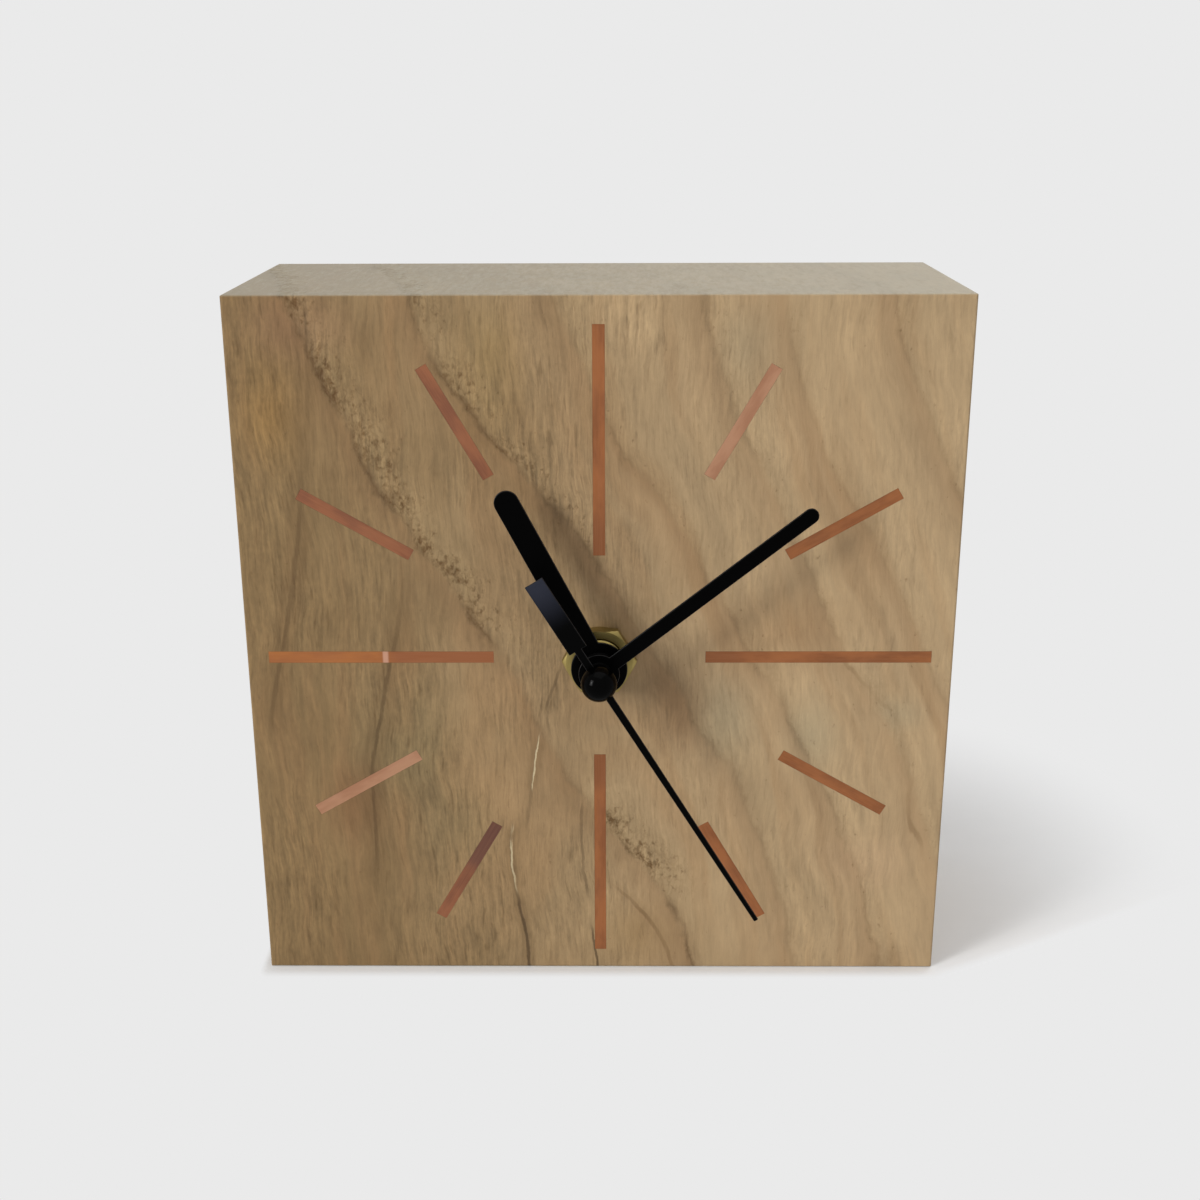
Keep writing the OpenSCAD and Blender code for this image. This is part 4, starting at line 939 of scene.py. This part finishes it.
pale_grey = paint(234, 234, 234)
table = Finish("pale_table", roughness=0.9, specular_ior_level=0.1)
table_at = table.place()
table_x, table_y, table_z = table.split(table_at)
reach_right, reach_left, reach_front, reach_back = 65, 2, 4, 80
shadow_slant, left_spread = 36, 20
right_of = past(table_x - block_high.x, reach_right)
behind = past(table_y - block_high.y, reach_back)
left_of = past(block_low.x - table_x, behind * left_spread + reach_left)
before = past(right_of * shadow_slant + block_low.y - table_y, reach_front)
outside = right_of * right_of + left_of * left_of + before * before + behind * behind + table_z * table_z
paper_grain = table.noise(table_at, (0.2, 0.2, 0.2))
table.set(base_color=table.mix(paper_grain, paint(233, 233, 233), paint(236, 236, 236)))
flat_tone = table.node("ShaderNodeEmission", inputs={"Color": pale_grey, "Strength": 1.0})
lit_tone = Wire(table, table.shader.outputs[0])
far = table.ease(outside.root(), 0.15, 1.0) * seen(table)
table_blend = table.node("ShaderNodeMixShader", inputs={0: far, 1: lit_tone, 2: flat_tone})
table.feed(table.tree.nodes["Material Output"].inputs["Surface"], table_blend)
sweep_mesh.materials.append(table.material)


# The studio is pale paper to the eye and to metal, and a dim fill to the rest. A large soft box on
# the left gives the shadow, and weaker ones overhead and behind open up the top and the back.
class Surround(Finish):
    """The world round the table, with the same calls as a material."""

    def __init__(self, name):
        world = bpy.data.worlds.new(name)
        world.use_nodes = True
        self.tree = world.node_tree
        bpy.context.scene.world = world


studio = Surround("studio")
fill = studio.node("ShaderNodeBackground", inputs={"Color": (1, 1, 1, 1), "Strength": 0.36})
paper = studio.node("ShaderNodeBackground", inputs={"Color": pale_grey, "Strength": 1.0})
studio_blend = studio.node("ShaderNodeMixShader", inputs={0: seen(studio), 1: fill, 2: paper})
studio.feed(studio.tree.nodes["World Output"].inputs["Surface"], studio_blend)


def soft_box(name, spot, target, width, height, watts):
    """A rectangular lamp that faces its target."""
    lamp = bpy.data.lights.new(name, "AREA")
    lamp.shape = "RECTANGLE"
    lamp.size, lamp.size_y, lamp.energy = width, height, watts
    holder = bpy.data.objects.new(name, lamp)
    facing = (Vector(target) - Vector(spot)).to_track_quat("-Z", "Y")
    holder.matrix_world = Matrix.Translation(spot) @ facing.to_matrix().to_4x4()
    bpy.context.scene.collection.objects.link(holder)


foot, waist = (0, 0, 0), (0, 0, 0.06)
soft_box("left_soft_box", (-0.82, -0.68, 0.45), waist, width=0.34, height=0.6, watts=7.8)
soft_box("left_strip_lamp", (-0.80, -0.66, 0.44), waist, width=0.07, height=0.2, watts=1.5)
soft_box("overhead_soft_box", (0.1, -0.05, 1.1), foot, width=1.2, height=1.0, watts=4.0)
soft_box("rear_soft_box", (0.5, 0.75, 1.0), waist, width=0.6, height=0.6, watts=3.0)


# The camera stands where the photograph's did: close in front, and a little above the block. Its
# place and lens were fitted to the edges of the block.
eye = Vector((0.00246, -0.27289, 0.15224))
pitch, yaw, roll = math.radians(18.173), math.radians(-0.538), math.radians(-0.202)
sensor_mm, focal_px, frame_px = 36.0, 1566.4, 1200
ahead = Vector((math.sin(yaw) * math.cos(pitch), math.cos(yaw) * math.cos(pitch), -math.sin(pitch)))
level_right = Vector((math.cos(yaw), -math.sin(yaw), 0))
level_up = level_right.cross(ahead)
rolled_right = level_right * math.cos(roll) + level_up * math.sin(roll)
rolled_up = level_up * math.cos(roll) - level_right * math.sin(roll)
lens = bpy.data.cameras.new("camera")
lens.sensor_width = sensor_mm
lens.lens = sensor_mm * focal_px / frame_px
lens.clip_start = 0.01
camera = bpy.data.objects.new("camera", lens)
camera_turn = Matrix((rolled_right, rolled_up, -ahead)).transposed().to_4x4()
camera.matrix_world = Matrix.Translation(eye) @ camera_turn
bpy.context.scene.collection.objects.link(camera)
bpy.context.scene.camera = camera
bpy.context.scene.view_settings.view_transform = "Standard"
